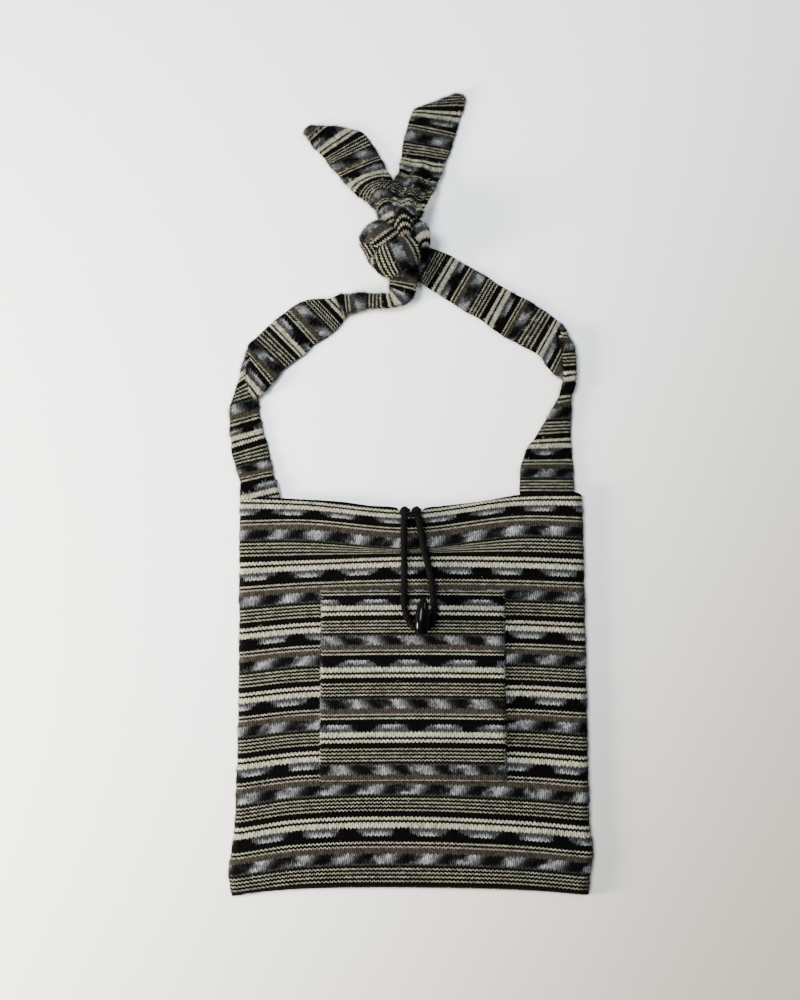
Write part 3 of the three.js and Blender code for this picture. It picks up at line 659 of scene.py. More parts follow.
# %% Guide rows on the body
GUIDE_ACROSS = [-1.0, -0.6, 0.0, 0.6, 1.0]
GUIDE_ROWS = [
    {"row": 168.0, "y": [-164, -157, -155.7, -157.5, -163]},
    {"row": 135.5, "y": [-114, -105.5, -103.4, -107.2, -112]},
    {"row": 99.5, "y": [-57.5, -50.5, -48.8, -51, -55]},
    {"row": 63.5, "y": [-3, 3, 4.5, 4.3, 1.4]},
    {"row": 27.5, "y": [51, 56.8, 59, 58.9, 56.5]},
    {"row": -8.5, "y": [106.8, 110.2, 113.2, 112.3, 110.2]},
    {"row": -14.5, "y": [117.4, 119, 122, 122, 120]},
    {"row": -25.0, "y": [134.4, 134.5, 127, 138, 137]},
    {"row": -34.5, "y": [148.8, 149.8, 143, 153, 152]},
    {"row": -44.5, "y": [163.5, 162, 154.8, 165.5, 166]},
]


def body_rows(x, y):
    """The row of the chart at places on the body."""
    lines = [
        read({"across": GUIDE_ACROSS, "y": guide["y"]}, "across", "y", x / HALF_WIDTH) * MM
        for guide in GUIDE_ROWS
    ]
    rows = [guide["row"] for guide in GUIDE_ROWS]
    count = None
    for k in range(len(rows) - 1):
        share = (y - lines[k]) / (lines[k + 1] - lines[k])
        here = rows[k] + (rows[k + 1] - rows[k]) * share
        count = here if count is None else np.where(share >= 0, here, count)
    return count


# %% [markdown]
# ## Front and back
#
# Both panels are shells made of two grids of points, an outer and an inner one, joined by a rim. A
# plane with a Solidify modifier would do for a flat one, but here the edges have to roll in, and the
# two grids say exactly how.

# %% Grids with rounded edges
GRID = 2 * MM
ROUNDED = np.linspace(0, 1, 7)


def stations(length, rounded_end):
    """Places between two edges: rows of (end, share), where end is -1 or 1 in a rounded edge."""
    count = max(2, round(length / GRID))
    middle = [(0, k / count) for k in range(1, count)]
    first = [(-1, turn) for turn in ROUNDED]
    last = [(1, turn) for turn in ROUNDED[::-1]] if rounded_end else [(0, 1.0)]
    return np.array([*first, *middle, *last])


def place(station, low, high, inset, radius, rounded_end):
    end, share = station[..., 0], station[..., 1]
    reach = inset + radius * (1 - np.cos(share * pi / 2))
    start = low + inset + radius
    stop = high - inset - radius if rounded_end else high
    between = start + (stop - start) * share
    return np.where(end < 0, low + reach, np.where(end > 0, high - reach, between))


def standing(station):
    return np.where(station[..., 0] == 0, 1.0, np.sin(station[..., 1] * pi / 2))


def panel_surface(across, along, edges, inset, radius, height, rounded_end=False):
    left, right, bottom, top = edges
    guess = place(across, -1, 1, inset / HALF_WIDTH, radius / HALF_WIDTH, True)
    low, high = bottom(guess)[None], top(guess)[None]
    y = place(along[:, None], low, high, inset, radius, rounded_end)
    up = (y - low) / (high - low)
    x = place(across[None], left(up), right(up), inset, radius, True)
    z = height(x, y, standing(along)[:, None] * standing(across)[None])
    return np.stack([x, y, z], axis=-1)


def shell(outer, inner):
    """Points and faces of a closed body between two grids of points."""
    rows, columns = outer.shape[:2]
    over = np.arange(rows * columns).reshape(rows, columns)
    under = over + rows * columns
    quads = [
        np.stack([over[:-1, :-1], over[:-1, 1:], over[1:, 1:], over[1:, :-1]], -1),
        np.stack([under[:-1, :-1], under[1:, :-1], under[1:, 1:], under[:-1, 1:]], -1),
        np.stack([under[0, :-1], under[0, 1:], over[0, 1:], over[0, :-1]], -1),
        np.stack([over[-1, :-1], over[-1, 1:], under[-1, 1:], under[-1, :-1]], -1),
        np.stack([over[:-1, 0], over[1:, 0], under[1:, 0], under[:-1, 0]], -1),
        np.stack([under[:-1, -1], under[1:, -1], over[1:, -1], over[:-1, -1]], -1),
    ]
    faces = np.concatenate([quad.reshape(-1, 4) for quad in quads])
    return np.concatenate([outer.reshape(-1, 3), inner.reshape(-1, 3)]), faces.tolist()


# %% [markdown]
# ## The cloth's unevenness
#
# The front rises from its seams over a rounded edge and has slow waves, as cloth has that was laid
# down by hand. The brushed rows stand a little higher than the rest. The back lies flat.

# %% Panels
def stitches_across(surface):
    """Stitch counts along each row of a grid, by the cloth's own length from its middle."""
    run = np.linalg.norm(np.diff(surface, axis=1), axis=-1)
    along = np.concatenate([np.zeros((len(surface), 1)), np.cumsum(run, axis=1)], axis=1)
    return (along - along[:, [surface.shape[1] // 2]]) / STITCH


def waves(x, y):
    """Slow unevenness of laid cloth, in metres."""
    slow = np.sin(x / 0.031 + 1.3 * np.sin(y / 0.045)) * np.sin(y / 0.038 + 0.8 * np.sin(x / 0.052))
    quick = np.sin(x / 0.0105 + 2.0 * np.sin(y / 0.019)) * np.sin(y / 0.0125 + 1.7)
    return (0.30 * slow + 0.09 * quick) * MM


def brushed_share(rows):
    """1 in the middle of the brushed rows and 0 elsewhere."""
    into_band = (rows - BRUSHED_START) % REPEAT
    return np.clip(1 - np.abs(into_band - 2.2) / 2.6, 0, 1)


def front_over(x, y, share):
    lift = waves(x, y) + 0.35 * MM * brushed_share(body_rows(x, y))
    return FRONT_BASE + (LOFT * loft_share(x, y) + lift - 0.25 * MM) * share


def front_under(x, y, share):
    return FRONT_BASE + (LOFT * loft_share(x, y) - WALL) * share


BODY_EDGES = (lambda up: side_x(-1, up), lambda up: side_x(1, up), bottom_y, mouth_y)
body_across = stations(BAG_WIDTH, True)
body_along = stations(BAG_HEIGHT, False)
outer = panel_surface(body_across, body_along, BODY_EDGES, 0, EDGE_ROUND, front_over)
inner = panel_surface(body_across, body_along, BODY_EDGES, WALL, EDGE_ROUND - WALL, front_under)


def panel_piece(name, outer, inner, rows):
    points, faces = shell(outer, inner)
    stitches = []
    for grid in (outer, inner):
        counts = [stitches_across(grid), rows(grid[..., 0], grid[..., 1])]
        stitches.append(np.stack(counts, -1).reshape(-1, 2))
    piece = make_piece(name, points, faces, np.concatenate(stitches), striped_knit)
    print(name, triangles(piece), "triangles")
    return piece


front_cloth = panel_piece("front_cloth", outer, inner, body_rows)

BACK_ROUND = 0.9 * MM
BACK_EDGES = (
    *BODY_EDGES[:3],
    lambda across: mouth_y(across) + 1.4 * MM * (1 - np.clip(across, -1, 1) ** 2),
)
back_along = stations(BAG_HEIGHT, True)
back_over = panel_surface(
    body_across, back_along, BACK_EDGES, 0, BACK_ROUND, lambda x, y, share: WALL * (0.5 + 0.5 * share), True
)
back_under = back_over * [1, 1, -1] + [0, 0, WALL]
back_cloth = panel_piece("back_cloth", back_over, back_under, body_rows)

# %% [markdown]
# ## Patch pocket
#
# The pocket is cut from the same striped cloth, but it was sewn on the other way up, so its rows
# count backwards. Its top edge stands open and its other three edges roll down to the seam.

# %% Pocket
POCKET_WIDTH, POCKET_HEIGHT = 156.5 * MM, 159 * MM
POCKET_X, POCKET_Y = 1.2 * MM, 11 * MM
POCKET_LOFT, POCKET_ROUND = 3.6 * MM, 5 * MM
CLEARANCE = 0.3 * MM
POCKET_GUIDES = {"y": [-68.8, -29.7, 24.0, 75.9, 90.3], "row": [-70.5, -44.5, -8.5, 27.5, 38.9]}


def front_top(x, y):
    return FRONT_BASE + LOFT * loft_share(x, y)


def pocket_rows(x, y):
    """The row of the chart at places on the pocket, which droop a little in its middle."""
    droop = 0.8 * MM * np.cos((x - POCKET_X) / POCKET_WIDTH * pi)
    y_mm = (y - droop + 0.4 * MM) / MM
    at, row = POCKET_GUIDES["y"], POCKET_GUIDES["row"]
    below = row[0] + (y_mm - at[0]) * ((row[1] - row[0]) / (at[1] - at[0]))
    return np.where(y_mm < at[0], below, np.interp(y_mm, at, row))


def pocket_over(x, y, share):
    lift = 0.6 * waves(x + 0.02, y) + 0.3 * MM * brushed_share(pocket_rows(x, y))
    return front_top(x, y) + CLEARANCE + (POCKET_LOFT + lift - 0.15 * MM) * share


def pocket_under(x, y, share):
    return front_top(x, y) + CLEARANCE + (POCKET_LOFT - WALL) * share


POCKET_EDGES = (
    lambda up: np.full_like(up, POCKET_X - POCKET_WIDTH / 2),
    lambda up: np.full_like(up, POCKET_X + POCKET_WIDTH / 2),
    lambda across: np.full_like(across, POCKET_Y - POCKET_HEIGHT / 2),
    lambda across: np.full_like(across, POCKET_Y + POCKET_HEIGHT / 2),
)
pocket_across, pocket_along = stations(POCKET_WIDTH, True), stations(POCKET_HEIGHT, False)
outer = panel_surface(pocket_across, pocket_along, POCKET_EDGES, 0, POCKET_ROUND, pocket_over)
inner = panel_surface(pocket_across, pocket_along, POCKET_EDGES, WALL, POCKET_ROUND - WALL, pocket_under)
pocket_cloth = panel_piece("pocket_cloth", outer, inner, pocket_rows)

# %% [markdown]
# ## Where the straps lie
#
# The straps, the tails and the knot's turns are bands that wander, fold and pleat, and the photograph
# shows both edges of each. So a band is noted as a ladder. Each rung says where its left and right
# edge are in the picture, how high its middle lies in mm, and which row of the chart is there. A ray
# from the camera through each edge, down to that height, gives the place on the bag. Lengths and
# angles guessed instead would put the folds and stripes beside where they are seen.

# %% Rungs
STRAP_WIDTH, STRAP_THICKNESS = 42, 3.6
STRAP_RISE = 227
KNOT_X, KNOT_SIZE, KNOT_HEIGHT = -15, 64, 34
MOUTH_Y = 165
KNOT_Y = MOUTH_Y + STRAP_RISE
FOLD_RADIUS = (STRAP_THICKNESS + 0.6) / 2
CHANNELS = ("x", "y", "z", "aim", "wide", "thick", "crown", "pleat", "bow")

RUNG_COLUMNS = (
    "left_px_x", "left_px_y", "right_px_x", "right_px_y", "middle", "row", "bow", "pleat", "thicker",
)


def under_picture(px_x, px_y, height):
    """The place in mm at a height above the surface that a point of the picture shows."""
    across, up = (px_x - 400) / FOCAL_PX, (500 - px_y) / FOCAL_PX
    way = [across, sin(CAMERA_TILT) + up * cos(CAMERA_TILT), up * sin(CAMERA_TILT) - cos(CAMERA_TILT)]
    start = np.array(CAMERA_PLACE) / MM
    return start + np.array(way) * (start[2] - height) / -way[2]


def rungs(rows):
    """Sections of a strap from where its two edges are in the picture."""
    sections = []
    for values in rows:
        row = dict(zip(RUNG_COLUMNS, values))
        left = under_picture(row["left_px_x"], row["left_px_y"], row["middle"])
        right = under_picture(row["right_px_x"], row["right_px_y"], row["middle"])
        x, y, _ = (left + right) / 2
        aim = np.degrees(np.arctan2(right[1] - left[1], right[0] - left[0]))
        sections.append({
            **row,
            "x": x,
            "y": y,
            "z": row["middle"],
            "aim": aim,
            "wide": np.linalg.norm(right - left),
            "thick": STRAP_THICKNESS * row.get("thicker", 1),
        })
    return sections


def sections_at(sections, places):
    """Smooth sections at many places along a route: one array of values for each channel."""
    table = np.array([[section.get(name, 0) for name in CHANNELS] for section in sections], float)
    last = len(table) - 1
    i = np.minimum(np.floor(places).astype(int), last - 1)
    t = (places - i)[:, None]
    a, b, c, d = (table[np.clip(i + k, 0, last)] for k in (-1, 0, 1, 2))
    values = b + 0.5 * t * (c - a + t * (2 * a - 5 * b + 4 * c - d + t * (3 * (b - c) + d - a)))
    return dict(zip(CHANNELS, values.T))


def middle_of(section):
    return np.stack([section["x"], section["y"], section["z"]], -1)


# %% [markdown]
# ## Bands of cloth
#
# Each section becomes a ring of points: over the top from edge to edge and back along the underside,
# round at its edges. Stitches are counted from the band's middle, and rows along its middle line between
# the rungs that name one. Bow curves the rows, pleat presses long folds in, and ripple makes the edges
# uneven, as hand-tied cloth has them.

# %% Bands
BAND_COLUMNS = 28
BAND_STEP = 1.6


def band(route, pleats=2, ripple=0.03, seed=0.0, gauge=BAND_STITCH, more_rows=()):
    """Points, faces and stitch counts of a band; more_rows has further (place, row) pairs."""
    anchors = [(place, section["row"]) for place, section in enumerate(route) if "row" in section]
    anchors += more_rows
    end = len(route) - 1
    fine = np.linspace(0, end, 600)
    line = middle_of(sections_at(route, fine))
    arc = np.concatenate([[0], np.cumsum(np.linalg.norm(np.diff(line, axis=0), axis=1))])
    count = int(arc[-1] / BAND_STEP)
    even = np.linspace(0, arc[-1], count)
    places = np.interp(even, arc, fine)
    section = sections_at(route, places)
    middle = middle_of(section)
    tangent = unit(
        middle_of(sections_at(route, np.minimum(places + 0.05, end)))
        - middle_of(sections_at(route, np.maximum(places - 0.05, 0)))
    )
    aim = np.radians(section["aim"])
    across = np.stack([np.cos(aim), np.sin(aim), np.zeros_like(aim)], -1)
    normal = unit(np.cross(across, tangent))
    u = -np.cos(np.linspace(0, pi, BAND_COLUMNS + 1))
    stretch = np.sign(u) * np.abs(u) ** 0.8
    half = section["thick"][:, None] / 2 * np.sqrt(1 - stretch**4)
    rise = section["crown"][:, None] * (0.5 - stretch**2)
    rise = rise + section["pleat"][:, None] * np.cos(pleats * pi * stretch)
    wander = np.sin(even / 7.3 + seed) * 0.6 + np.sin(even / 3.1 + 2 * seed) * 0.4
    edge = 1 + ripple * wander[:, None] * np.abs(stretch) ** 3
    wave = ripple * 6 * np.sin(even / 5.7 + seed)[:, None] * stretch * np.abs(stretch)
    side = middle[:, None] + across[:, None] * (stretch * edge * section["wide"][:, None] / 2)[..., None]
    top = side + normal[:, None] * (half + rise + np.maximum(wave, 0))[..., None]
    under = side + normal[:, None] * (-half + rise + np.maximum(wave, 0))[..., None]
    ring = np.concatenate([top, under[:, -2:0:-1]], axis=1)

    anchor_arc = np.interp([place for place, _ in anchors], fine, arc)
    rows = rows_along(even, anchor_arc, [row for _, row in anchors])
    stitch = stretch * section["wide"][:, None] / 2 * MM / gauge
    rows = rows[:, None] + section["bow"][:, None] * stretch**2
    stitches = np.stack([np.concatenate([grid, grid[:, -2:0:-1]], axis=1) for grid in (stitch, rows)], -1)

    count = ring.shape[1]
    index = np.arange(ring.shape[0] * count).reshape(-1, count)
    beside = np.roll(index, -1, axis=1)
    faces = np.stack([index[:-1], beside[:-1], beside[1:], index[1:]], -1).reshape(-1, 4).tolist()
    faces += end_cap(index[0].tolist(), False) + end_cap(index[-1].tolist(), True)
    return ring.reshape(-1, 3) * MM, faces, stitches.reshape(-1, 2)


def end_cap(ring, flip):
    """Faces that close a band's end, between its top and its underside."""
    count = len(ring)
    faces = [[ring[0], ring[-1], ring[1]]]
    for k in range(1, count // 2 - 1):
        faces.append([ring[k], ring[count - k], ring[count - k - 1], ring[k + 1]])
    faces.append([ring[count // 2 - 1], ring[count // 2 + 1], ring[count // 2]])
    return [face[::-1] for face in faces] if flip else faces


def rows_along(arc, anchor_arc, anchor_rows):
    """Row numbers at lengths along a band; beyond the anchors, rows keep their usual depth."""
    way = np.sign(anchor_rows[-1] - anchor_rows[0])
    before = np.minimum(arc - anchor_arc[0], 0) * MM / ROW * way
    after = np.maximum(arc - anchor_arc[-1], 0) * MM / ROW * way
    return np.interp(arc, anchor_arc, anchor_rows) + before + after


def band_piece(name, *bands):
    points, faces = joined([(points, faces) for points, faces, _ in bands])
    piece = make_piece(name, points, faces, np.vstack([stitches for _, _, stitches in bands]), striped_knit)
    print(name, triangles(piece), "triangles")
    return piece


# %% [markdown]
# ## The two straps
#
# Each strap runs flat from the mouth, folds over once at the side and comes back up to the knot, so it
# is two bands: a lower one that ends narrow in the fold and an upper one that starts there. Near the
# knot its edges hide each other, and the last sections are set by shares of the way to the knot.

# %% Straps
LEFT_LOWER = [
    (241, 517, 281, 508, 4.4, 18.0),
    (240, 501, 279, 491.5, 4.4, 26.5),
    (239.5, 480.5, 273.5, 473, 3.0, 37.5),
    (236, 467.5, 270.5, 460, 2.4, 47.5),
    (231.5, 452, 266.5, 441, 2.1, 57.5),
    (230.5, 439.5, 263.5, 430.5, 2.1, 63.5),
    (229.3, 431, 261.5, 420.5, 2.1, 70.5),
    (229.5, 424.5, 260, 416, 2.1, 73.5),
    (230.5, 405, 257.5, 397.5, 2.1, 84.0),
    (236, 387.5, 253, 377, 2.1, 93.5),
    (240, 377, 252, 368, 2.1, 99.5),
    (242.5, 366, 251, 360.5, 2.1, 104.0),
    (245, 356, 250, 353.5, 2.1, 109.5),
    (247, 350.5, 249, 350, 2.1, 112.5),
]
LEFT_UPPER = [
    (256.5, 398.5, 250, 389.5, 5.4, 96.5),
    (261.5, 394.5, 247, 378, 5.6, 99.5),
    (266, 390.5, 246.5, 369.5, 5.4, 103.5),
    (269, 387, 249.5, 362.5, 5.2, 106.5),
    (272.5, 383, 249.5, 356, 5.0, 109.5),
    (277, 379.5, 247.5, 349.5, 4.4, 112.5),
    (281.5, 372.5, 248.5, 343.5, 3.6, 116.5),
    (287, 367.5, 255.5, 338, 2.8, 121.5),
    (298.5, 359, 267, 327.5, 2.2, 129.5),
    (304, 354.5, 273, 322.5, 2.1, 135.5),
    (316.5, 344, 286, 311, 2.1, 145.5),
    (333, 333, 302.5, 301.5, 2.1, 156.0),
    (342, 323, 320, 299, 2.3, 165.5),
    (346.5, 317, 329, 298.5, 2.8, 169.5),
    (348, 312.5, 335, 296.5, 3.6, 173.5),
]
RIGHT_LOWER = [
    (519, 510, 574, 510, 4.4, 32.0),
    (519.5, 493.5, 574, 493.5, 4.4, 21.5),
    (520, 478, 573.5, 478, 3.2, 11.5),
    (521.5, 462.5, 573, 462, 2.4, 1.5),
    (527.5, 446.8, 571.5, 445.5, 2.4, -8.5),
    (535, 437.5, 571, 435, 2.6, -14.5),
    (545.5, 420.5, 571, 419.5, 3.0, -24.0),
    (556.5, 400.5, 571.5, 398, 3.8, -34.5),
    (561, 389.5, 573.5, 391, 4.6, -38.0),
    (563.5, 380, 576, 378, 5.4, -44.5),
    (563.5, 369, 576.5, 368, 5.8, -50.5),
    (562, 353, 575.5, 352, 6.0, -59.5),
    (561, 342, 571.5, 342, 6.0, -66.0),
    (561.5, 336, 568, 336.5, 5.8, -70.5),
    (563, 330.5, 566, 330.5, 5.6, -73.0),
]
RIGHT_UPPER = [
    (566, 366, 564, 380, 2.1, -63.5),
    (564, 356, 556, 376, 2.1, -67.5),
    (565, 345, 551.5, 371.5, 2.1, -70.5),
    (566, 331, 547.5, 367.5, 2.1, -73.8),
    (563, 325.5, 543.5, 361, 2.1, -77.5),
    (559, 321.5, 540, 356.5, 2.1, -80.5),
    (553.5, 316.5, 533, 352.5, 2.1, -86.5),
    (537, 306, 513.5, 341.5, 2.1, -96.5),
    (524, 298.5, 502.5, 335.5, 2.1, -106.5),
    (509.5, 290.5, 490, 327.5, 2.1, -116.5),
    (501, 285.5, 481, 320.5, 2.1, -122.5),
    (472, 268, 451.5, 303, 2.1, -142.5),
    (457.5, 259.5, 437.5, 294, 2.5, -152.5),
    (449, 255, 428.5, 288, 3.1, -158.5),
    (434, 249.5, 417.5, 281.5, 4.6, -168.5),
]

STRAP_COLUMNS = ("across", "up", "wide", "thick", "aim", "layer")
LEFT_NARROW = [
    (0.655, 0.79, 0.46, 1.7, 100, 0.35),
    (0.78, 0.801, 0.33, 2.1, 93, 0.5),
    (0.9, 0.802, 0.31, 2.2, 91, 0.65),
    (1.0, 0.806, 0.34, 2.2, 118, 1.0),
    (1.05, 0.84, 0.55, 1.9, 160, 1.6),
    (1.06, 0.9, 0.58, 1.8, 176, 2.2),
    (1.07, 0.96, 0.5, 1.8, 180, 2.6),
]
RIGHT_NARROW = [
    (0.9, 0.955, 0.76, 1.3, -118, 0.8),
    (1.0, 0.985, 0.66, 1.5, -117, 1.2),
]


def lerp(start, end, share):
    return start + (end - start) * share


def narrow_route(side, rows):
    sections = []
    for values in rows:
        row = dict(zip(STRAP_COLUMNS, values))
        thick = row["thick"] * STRAP_THICKNESS
        sections.append({
            "x": lerp(side * 150, KNOT_X, row["across"]),
            "y": lerp(MOUTH_Y, KNOT_Y, row["up"]),
            "z": 0.3 + thick / 2 + row["layer"] * 2 * FOLD_RADIUS,
            "aim": row["aim"],
            "wide": row["wide"] * STRAP_WIDTH,
            "thick": thick,
        })
    return sections


FOLD_START = len(LEFT_UPPER)
FOLD_ROWS = [(FOLD_START + 0.35, 181.5), (FOLD_START + 2.33, 201.5)]
strap_left = band_piece(
    "strap_left_knit",
    band(rungs(LEFT_LOWER), seed=1.0),
    band(rungs(LEFT_UPPER) + narrow_route(-1, LEFT_NARROW), more_rows=FOLD_ROWS),
)
strap_right = band_piece(
    "strap_right_knit",
    band(rungs(RIGHT_LOWER), ripple=0.025, seed=4.0),
    band(rungs(RIGHT_UPPER) + narrow_route(1, RIGHT_NARROW), seed=5.0),
)

# %% [markdown]
# ## The tails
#
# Both free ends leave the top of the knot with pleats at the neck, and flatten towards their slanting
# tips. The rows turn with them, so the same ladder of rungs gives outline and stripes at once.

# %% Tails
LEFT_TAIL = [
    (384, 234, 402, 226, 15, -17.5, 0, 0, 1.3),
    (381, 224, 400, 215, 18, -10.5, 1, 0, 1.4),
    (377, 213, 395.5, 204.5, 17.5, -3.5, 2, 0.8, 1.5),
    (373.5, 207, 394.5, 198.5, 16, 2.0, 3, 1.0, 1.4),
    (369, 202, 393, 191, 13, 9.0, 4, 1.6, 1.3),
    (359, 196, 392, 181, 9, 16.0, 4, 1.4, 1.2),
    (352, 190.5, 390.5, 174.5, 6, 22.0, 3, 1.0, 1.1),
    (346, 185, 387, 169.5, 4.2, 27.5, 1.5, 0.6, 1),
    (338.5, 176, 381, 158, 2.8, 37.5, 0, 0.2, 1),
    (330, 166, 373, 146.5, 2.2, 48.0, 0, 0, 1),
    (323.5, 158, 363.5, 133, 2.1, 57.5, 0, 0, 1),
    (317.5, 152, 350, 129, 2.1, 63.5, 0, 0, 1),
    (312, 145.5, 334, 126.5, 2.1, 70.0, 0, 0, 1),
    (307, 138, 320, 126, 2.1, 75.0, 0, 0, 1),
    (304.5, 133, 311, 127, 2.1, 79.0, 0, 0, 1),
]
RIGHT_TAIL = [
    (396, 222, 416, 224, 20, 112.0, 0, 0, 1.3),
    (394.5, 213, 421, 217, 20, 105.0, 0, 1.4, 1.4),
    (393.5, 204, 423.5, 211, 17, 99.5, -2, 2.2, 1.4),
    (392.5, 196, 427, 204, 13, 93.5, -1, 2.6, 1.3),
    (393, 188.5, 431, 197, 9.5, 88.0, 0, 2.4, 1.2),
    (395, 181, 434.5, 191, 6.8, 81.0, 0, 2.0, 1.1),
    (397.5, 174.5, 437.5, 185.5, 4.8, 73.5, 0, 1.4, 1),
    (400, 162.5, 443, 172, 3.2, 63.5, 0, 0.9, 1),
    (401.5, 156, 446, 162.5, 2.7, 57.5, 0, 0.5, 1),
    (403.5, 142, 450.5, 150, 2.3, 48.0, 0, 0.2, 1),
    (407.5, 126, 455.5, 136, 2.1, 37.5, 0, 0, 1),
    (411, 115, 459.5, 121.5, 2.1, 27.5, 0, 0, 1),
    (417, 108, 464, 107, 2.1, 20.0, 0, 0, 1),
    (436, 101.5, 466, 99.5, 2.1, 15.5, 0, 0, 1),
    (453, 95, 463, 95.5, 2.1, 12.0, 0, 0, 1),
]

tail_left = band_piece("tail_left_knit", band(rungs(LEFT_TAIL), pleats=1, seed=2.0))
tail_right = band_piece("tail_right_knit", band(rungs(RIGHT_TAIL), seed=3.0))

# %% [markdown]
# ## The knot
#
# An overhand knot in a wide strap is a packed middle under the turns that show: one across the front,
# one at the left with its turned corner, one at the right, and a collar where the tails leave. Each is
# a band of the same knit, so its stripes bend with it. The dark middle fills the gaps between them.

# %% Knot
FRONT_WRAP = [
    (374, 258, 380, 272, 12, 24.0),
    (374, 254, 384.5, 277, 19, 21.5),
    (378.5, 248, 391, 277.5, 25.5, 18.0),
    (385, 242.5, 398.5, 274, 29, 13.5),
    (391.5, 239, 405, 269.5, 30.5, 9.0),
    (398, 236.5, 411.5, 264, 30.5, 5.0),
    (404, 235, 418, 258, 28.5, 1.5),
    (408, 233.5, 421.5, 253.5, 25, -1.5),
    (410, 234, 421, 249, 16, -4.0),
]
LEFT_WRAP = [
    (386, 258, 405, 243, 15, -5.0),
    (379, 251.5, 401.5, 235.5, 22, -2.0),
    (372.5, 245.5, 396, 228.5, 27, 1.5),
    (366, 243.5, 390, 224.5, 27, 4.5),
    (362, 240.5, 384.5, 221.5, 22, 7.5),
    (360, 239.5, 380, 220.5, 15, 10.0),
    (361, 239, 378, 221.5, 7, 13.0),
]
CORNER_WRAP = [
    (376, 237, 384, 248, 17, 24.0),
    (367.5, 236.5, 378, 252, 21.5, 21.5),
    (362, 240, 373, 257.5, 20.5, 17.0),
    (361, 243.5, 370, 260, 15, 13.0),
    (365, 243, 373, 258, 7, 10.0),
]
RIGHT_WRAP = [
    (403, 228, 412, 218, 16, 36.0),
    (408, 233, 421, 221, 23, 33.0),
    (412.5, 239.5, 428.5, 229, 25.5, 28.5),
    (417, 246.5, 430, 239.5, 23, 24.5),
    (420, 252, 427, 249, 15, 21.0),
]
COLLAR = [
    (399, 240, 413, 238, 22, 13.0),
    (396, 233, 413, 230, 27.5, 15.5),
    (394.5, 225.5, 413, 221.5, 29, 18.0),
    (394.5, 218, 411, 214.5, 26.5, 20.5),
    (396.5, 212, 409, 210, 19, 23.0),
]


CORE_ROW = 21.4


def knot_core():
    turn, tilt = np.linspace(0, 2 * pi, 48, endpoint=False), np.linspace(0, pi, 25)[1:-1]
    ring = np.stack([
        np.sin(tilt)[:, None] * np.cos(turn),
        np.sin(tilt)[:, None] * np.sin(turn),
        np.cos(tilt)[:, None] * np.ones_like(turn),
    ], -1)
    lumps = 1 + 0.05 * np.sin(5 * turn + 1) * np.sin(3 * tilt)[:, None]
    lumps = lumps + 0.04 * np.sin(9 * turn) * np.sin(tilt)[:, None]
    size = np.array([KNOT_SIZE * 0.72, KNOT_SIZE * 0.74, KNOT_HEIGHT * 0.74]) / 2
    centre = np.array([KNOT_X - 1, KNOT_Y - 1, 0.3 + KNOT_HEIGHT * 0.39])
    middle = (ring * lumps[..., None] * size + centre).reshape(-1, 3)
    points = np.vstack([middle, centre + [0, 0, size[2]], centre - [0, 0, size[2]]])
    index = np.arange(len(tilt) * len(turn)).reshape(len(tilt), -1)
    beside = np.roll(index, -1, axis=1)
    faces = np.stack([index[:-1], index[1:], beside[1:], beside[:-1]], -1).reshape(-1, 4).tolist()
    top, bottom = index.size, index.size + 1
    faces += [[top, a, b] for a, b in zip(index[0], beside[0])]
    faces += [[bottom, b, a] for a, b in zip(index[-1], beside[-1])]
    stitches = np.stack([points[:, 0] * MM / STITCH, CORE_ROW + 0.02 * points[:, 1]], -1)
    return points * MM, [[int(k) for k in face] for face in faces], stitches


def wrap(rows, thick, crown, bow=0.0, seed=0.0, gauge=BAND_STITCH):
    sections = [{**section, "thick": thick, "crown": crown, "bow": bow} for section in rungs(rows)]
    return band(sections, ripple=0.07, seed=seed, gauge=gauge)


strap_knot = band_piece(
    "strap_knot_knit",
    knot_core(),
    wrap(FRONT_WRAP, 4.6, 2.6, seed=1.0),
    wrap(LEFT_WRAP, 4.6, 2.4, seed=2.0),
    wrap(CORNER_WRAP, 4.2, 1.5, seed=3.0),
    wrap(RIGHT_WRAP, 4.6, 2.2, bow=1.5, seed=4.0, gauge=2.3 * MM),
    wrap(COLLAR, 4.6, 2.0, bow=2.2, seed=5.0, gauge=2.1 * MM),
)

# %% [markdown]
# ## Cord and toggle finishes
#
# The cord is matt black with a faint sheen on each strand. The toggle is polished horn or resin, and
# nearly black. It is smooth enough for the lamp to show in it as one narrow line, which is what makes
# it read as glossy. A fine grain in the colour keeps both from looking like plain paint.

# %% Black materials
CORD_TONES = [(0.3, (0.0006, 0.0006, 0.0006, 1)), (0.75, (0.0036, 0.0034, 0.0032, 1))]
TOGGLE_TONES = [(0.35, (0.0008, 0.0008, 0.001, 1)), (0.8, (0.003, 0.003, 0.003, 1))]


def braided_cord_material():
    material = bpy.data.materials.new("braided_cord")
    material.use_nodes = True
    tree = material.node_tree
    shader = tree.nodes["Principled BSDF"]
    place_node = tree.nodes.new("ShaderNodeTexCoord")
    grain = tree.nodes.new("ShaderNodeTexNoise")
    grain.inputs["Scale"].default_value = 2600
    grain.inputs["Detail"].default_value = 3
    tree.links.new(place_node.outputs["Object"], grain.inputs["Vector"])
    tone = ramp(tree, Field(tree, grain.outputs["Fac"]), CORD_TONES)
    tree.links.new(tone.outputs["Color"], shader.inputs["Base Color"])
    relief = tree.nodes.new("ShaderNodeBump")
    relief.inputs["Strength"].default_value = 0.5
    relief.inputs["Distance"].default_value = 0.1 * MM
    tree.links.new(grain.outputs["Fac"], relief.inputs["Height"])
    tree.links.new(relief.outputs[0], shader.inputs["Normal"])
    shader.inputs["Roughness"].default_value = 0.7
    shader.inputs["Specular IOR Level"].default_value = 0.05
    shader.inputs["Sheen Weight"].default_value = 0.002
    return material


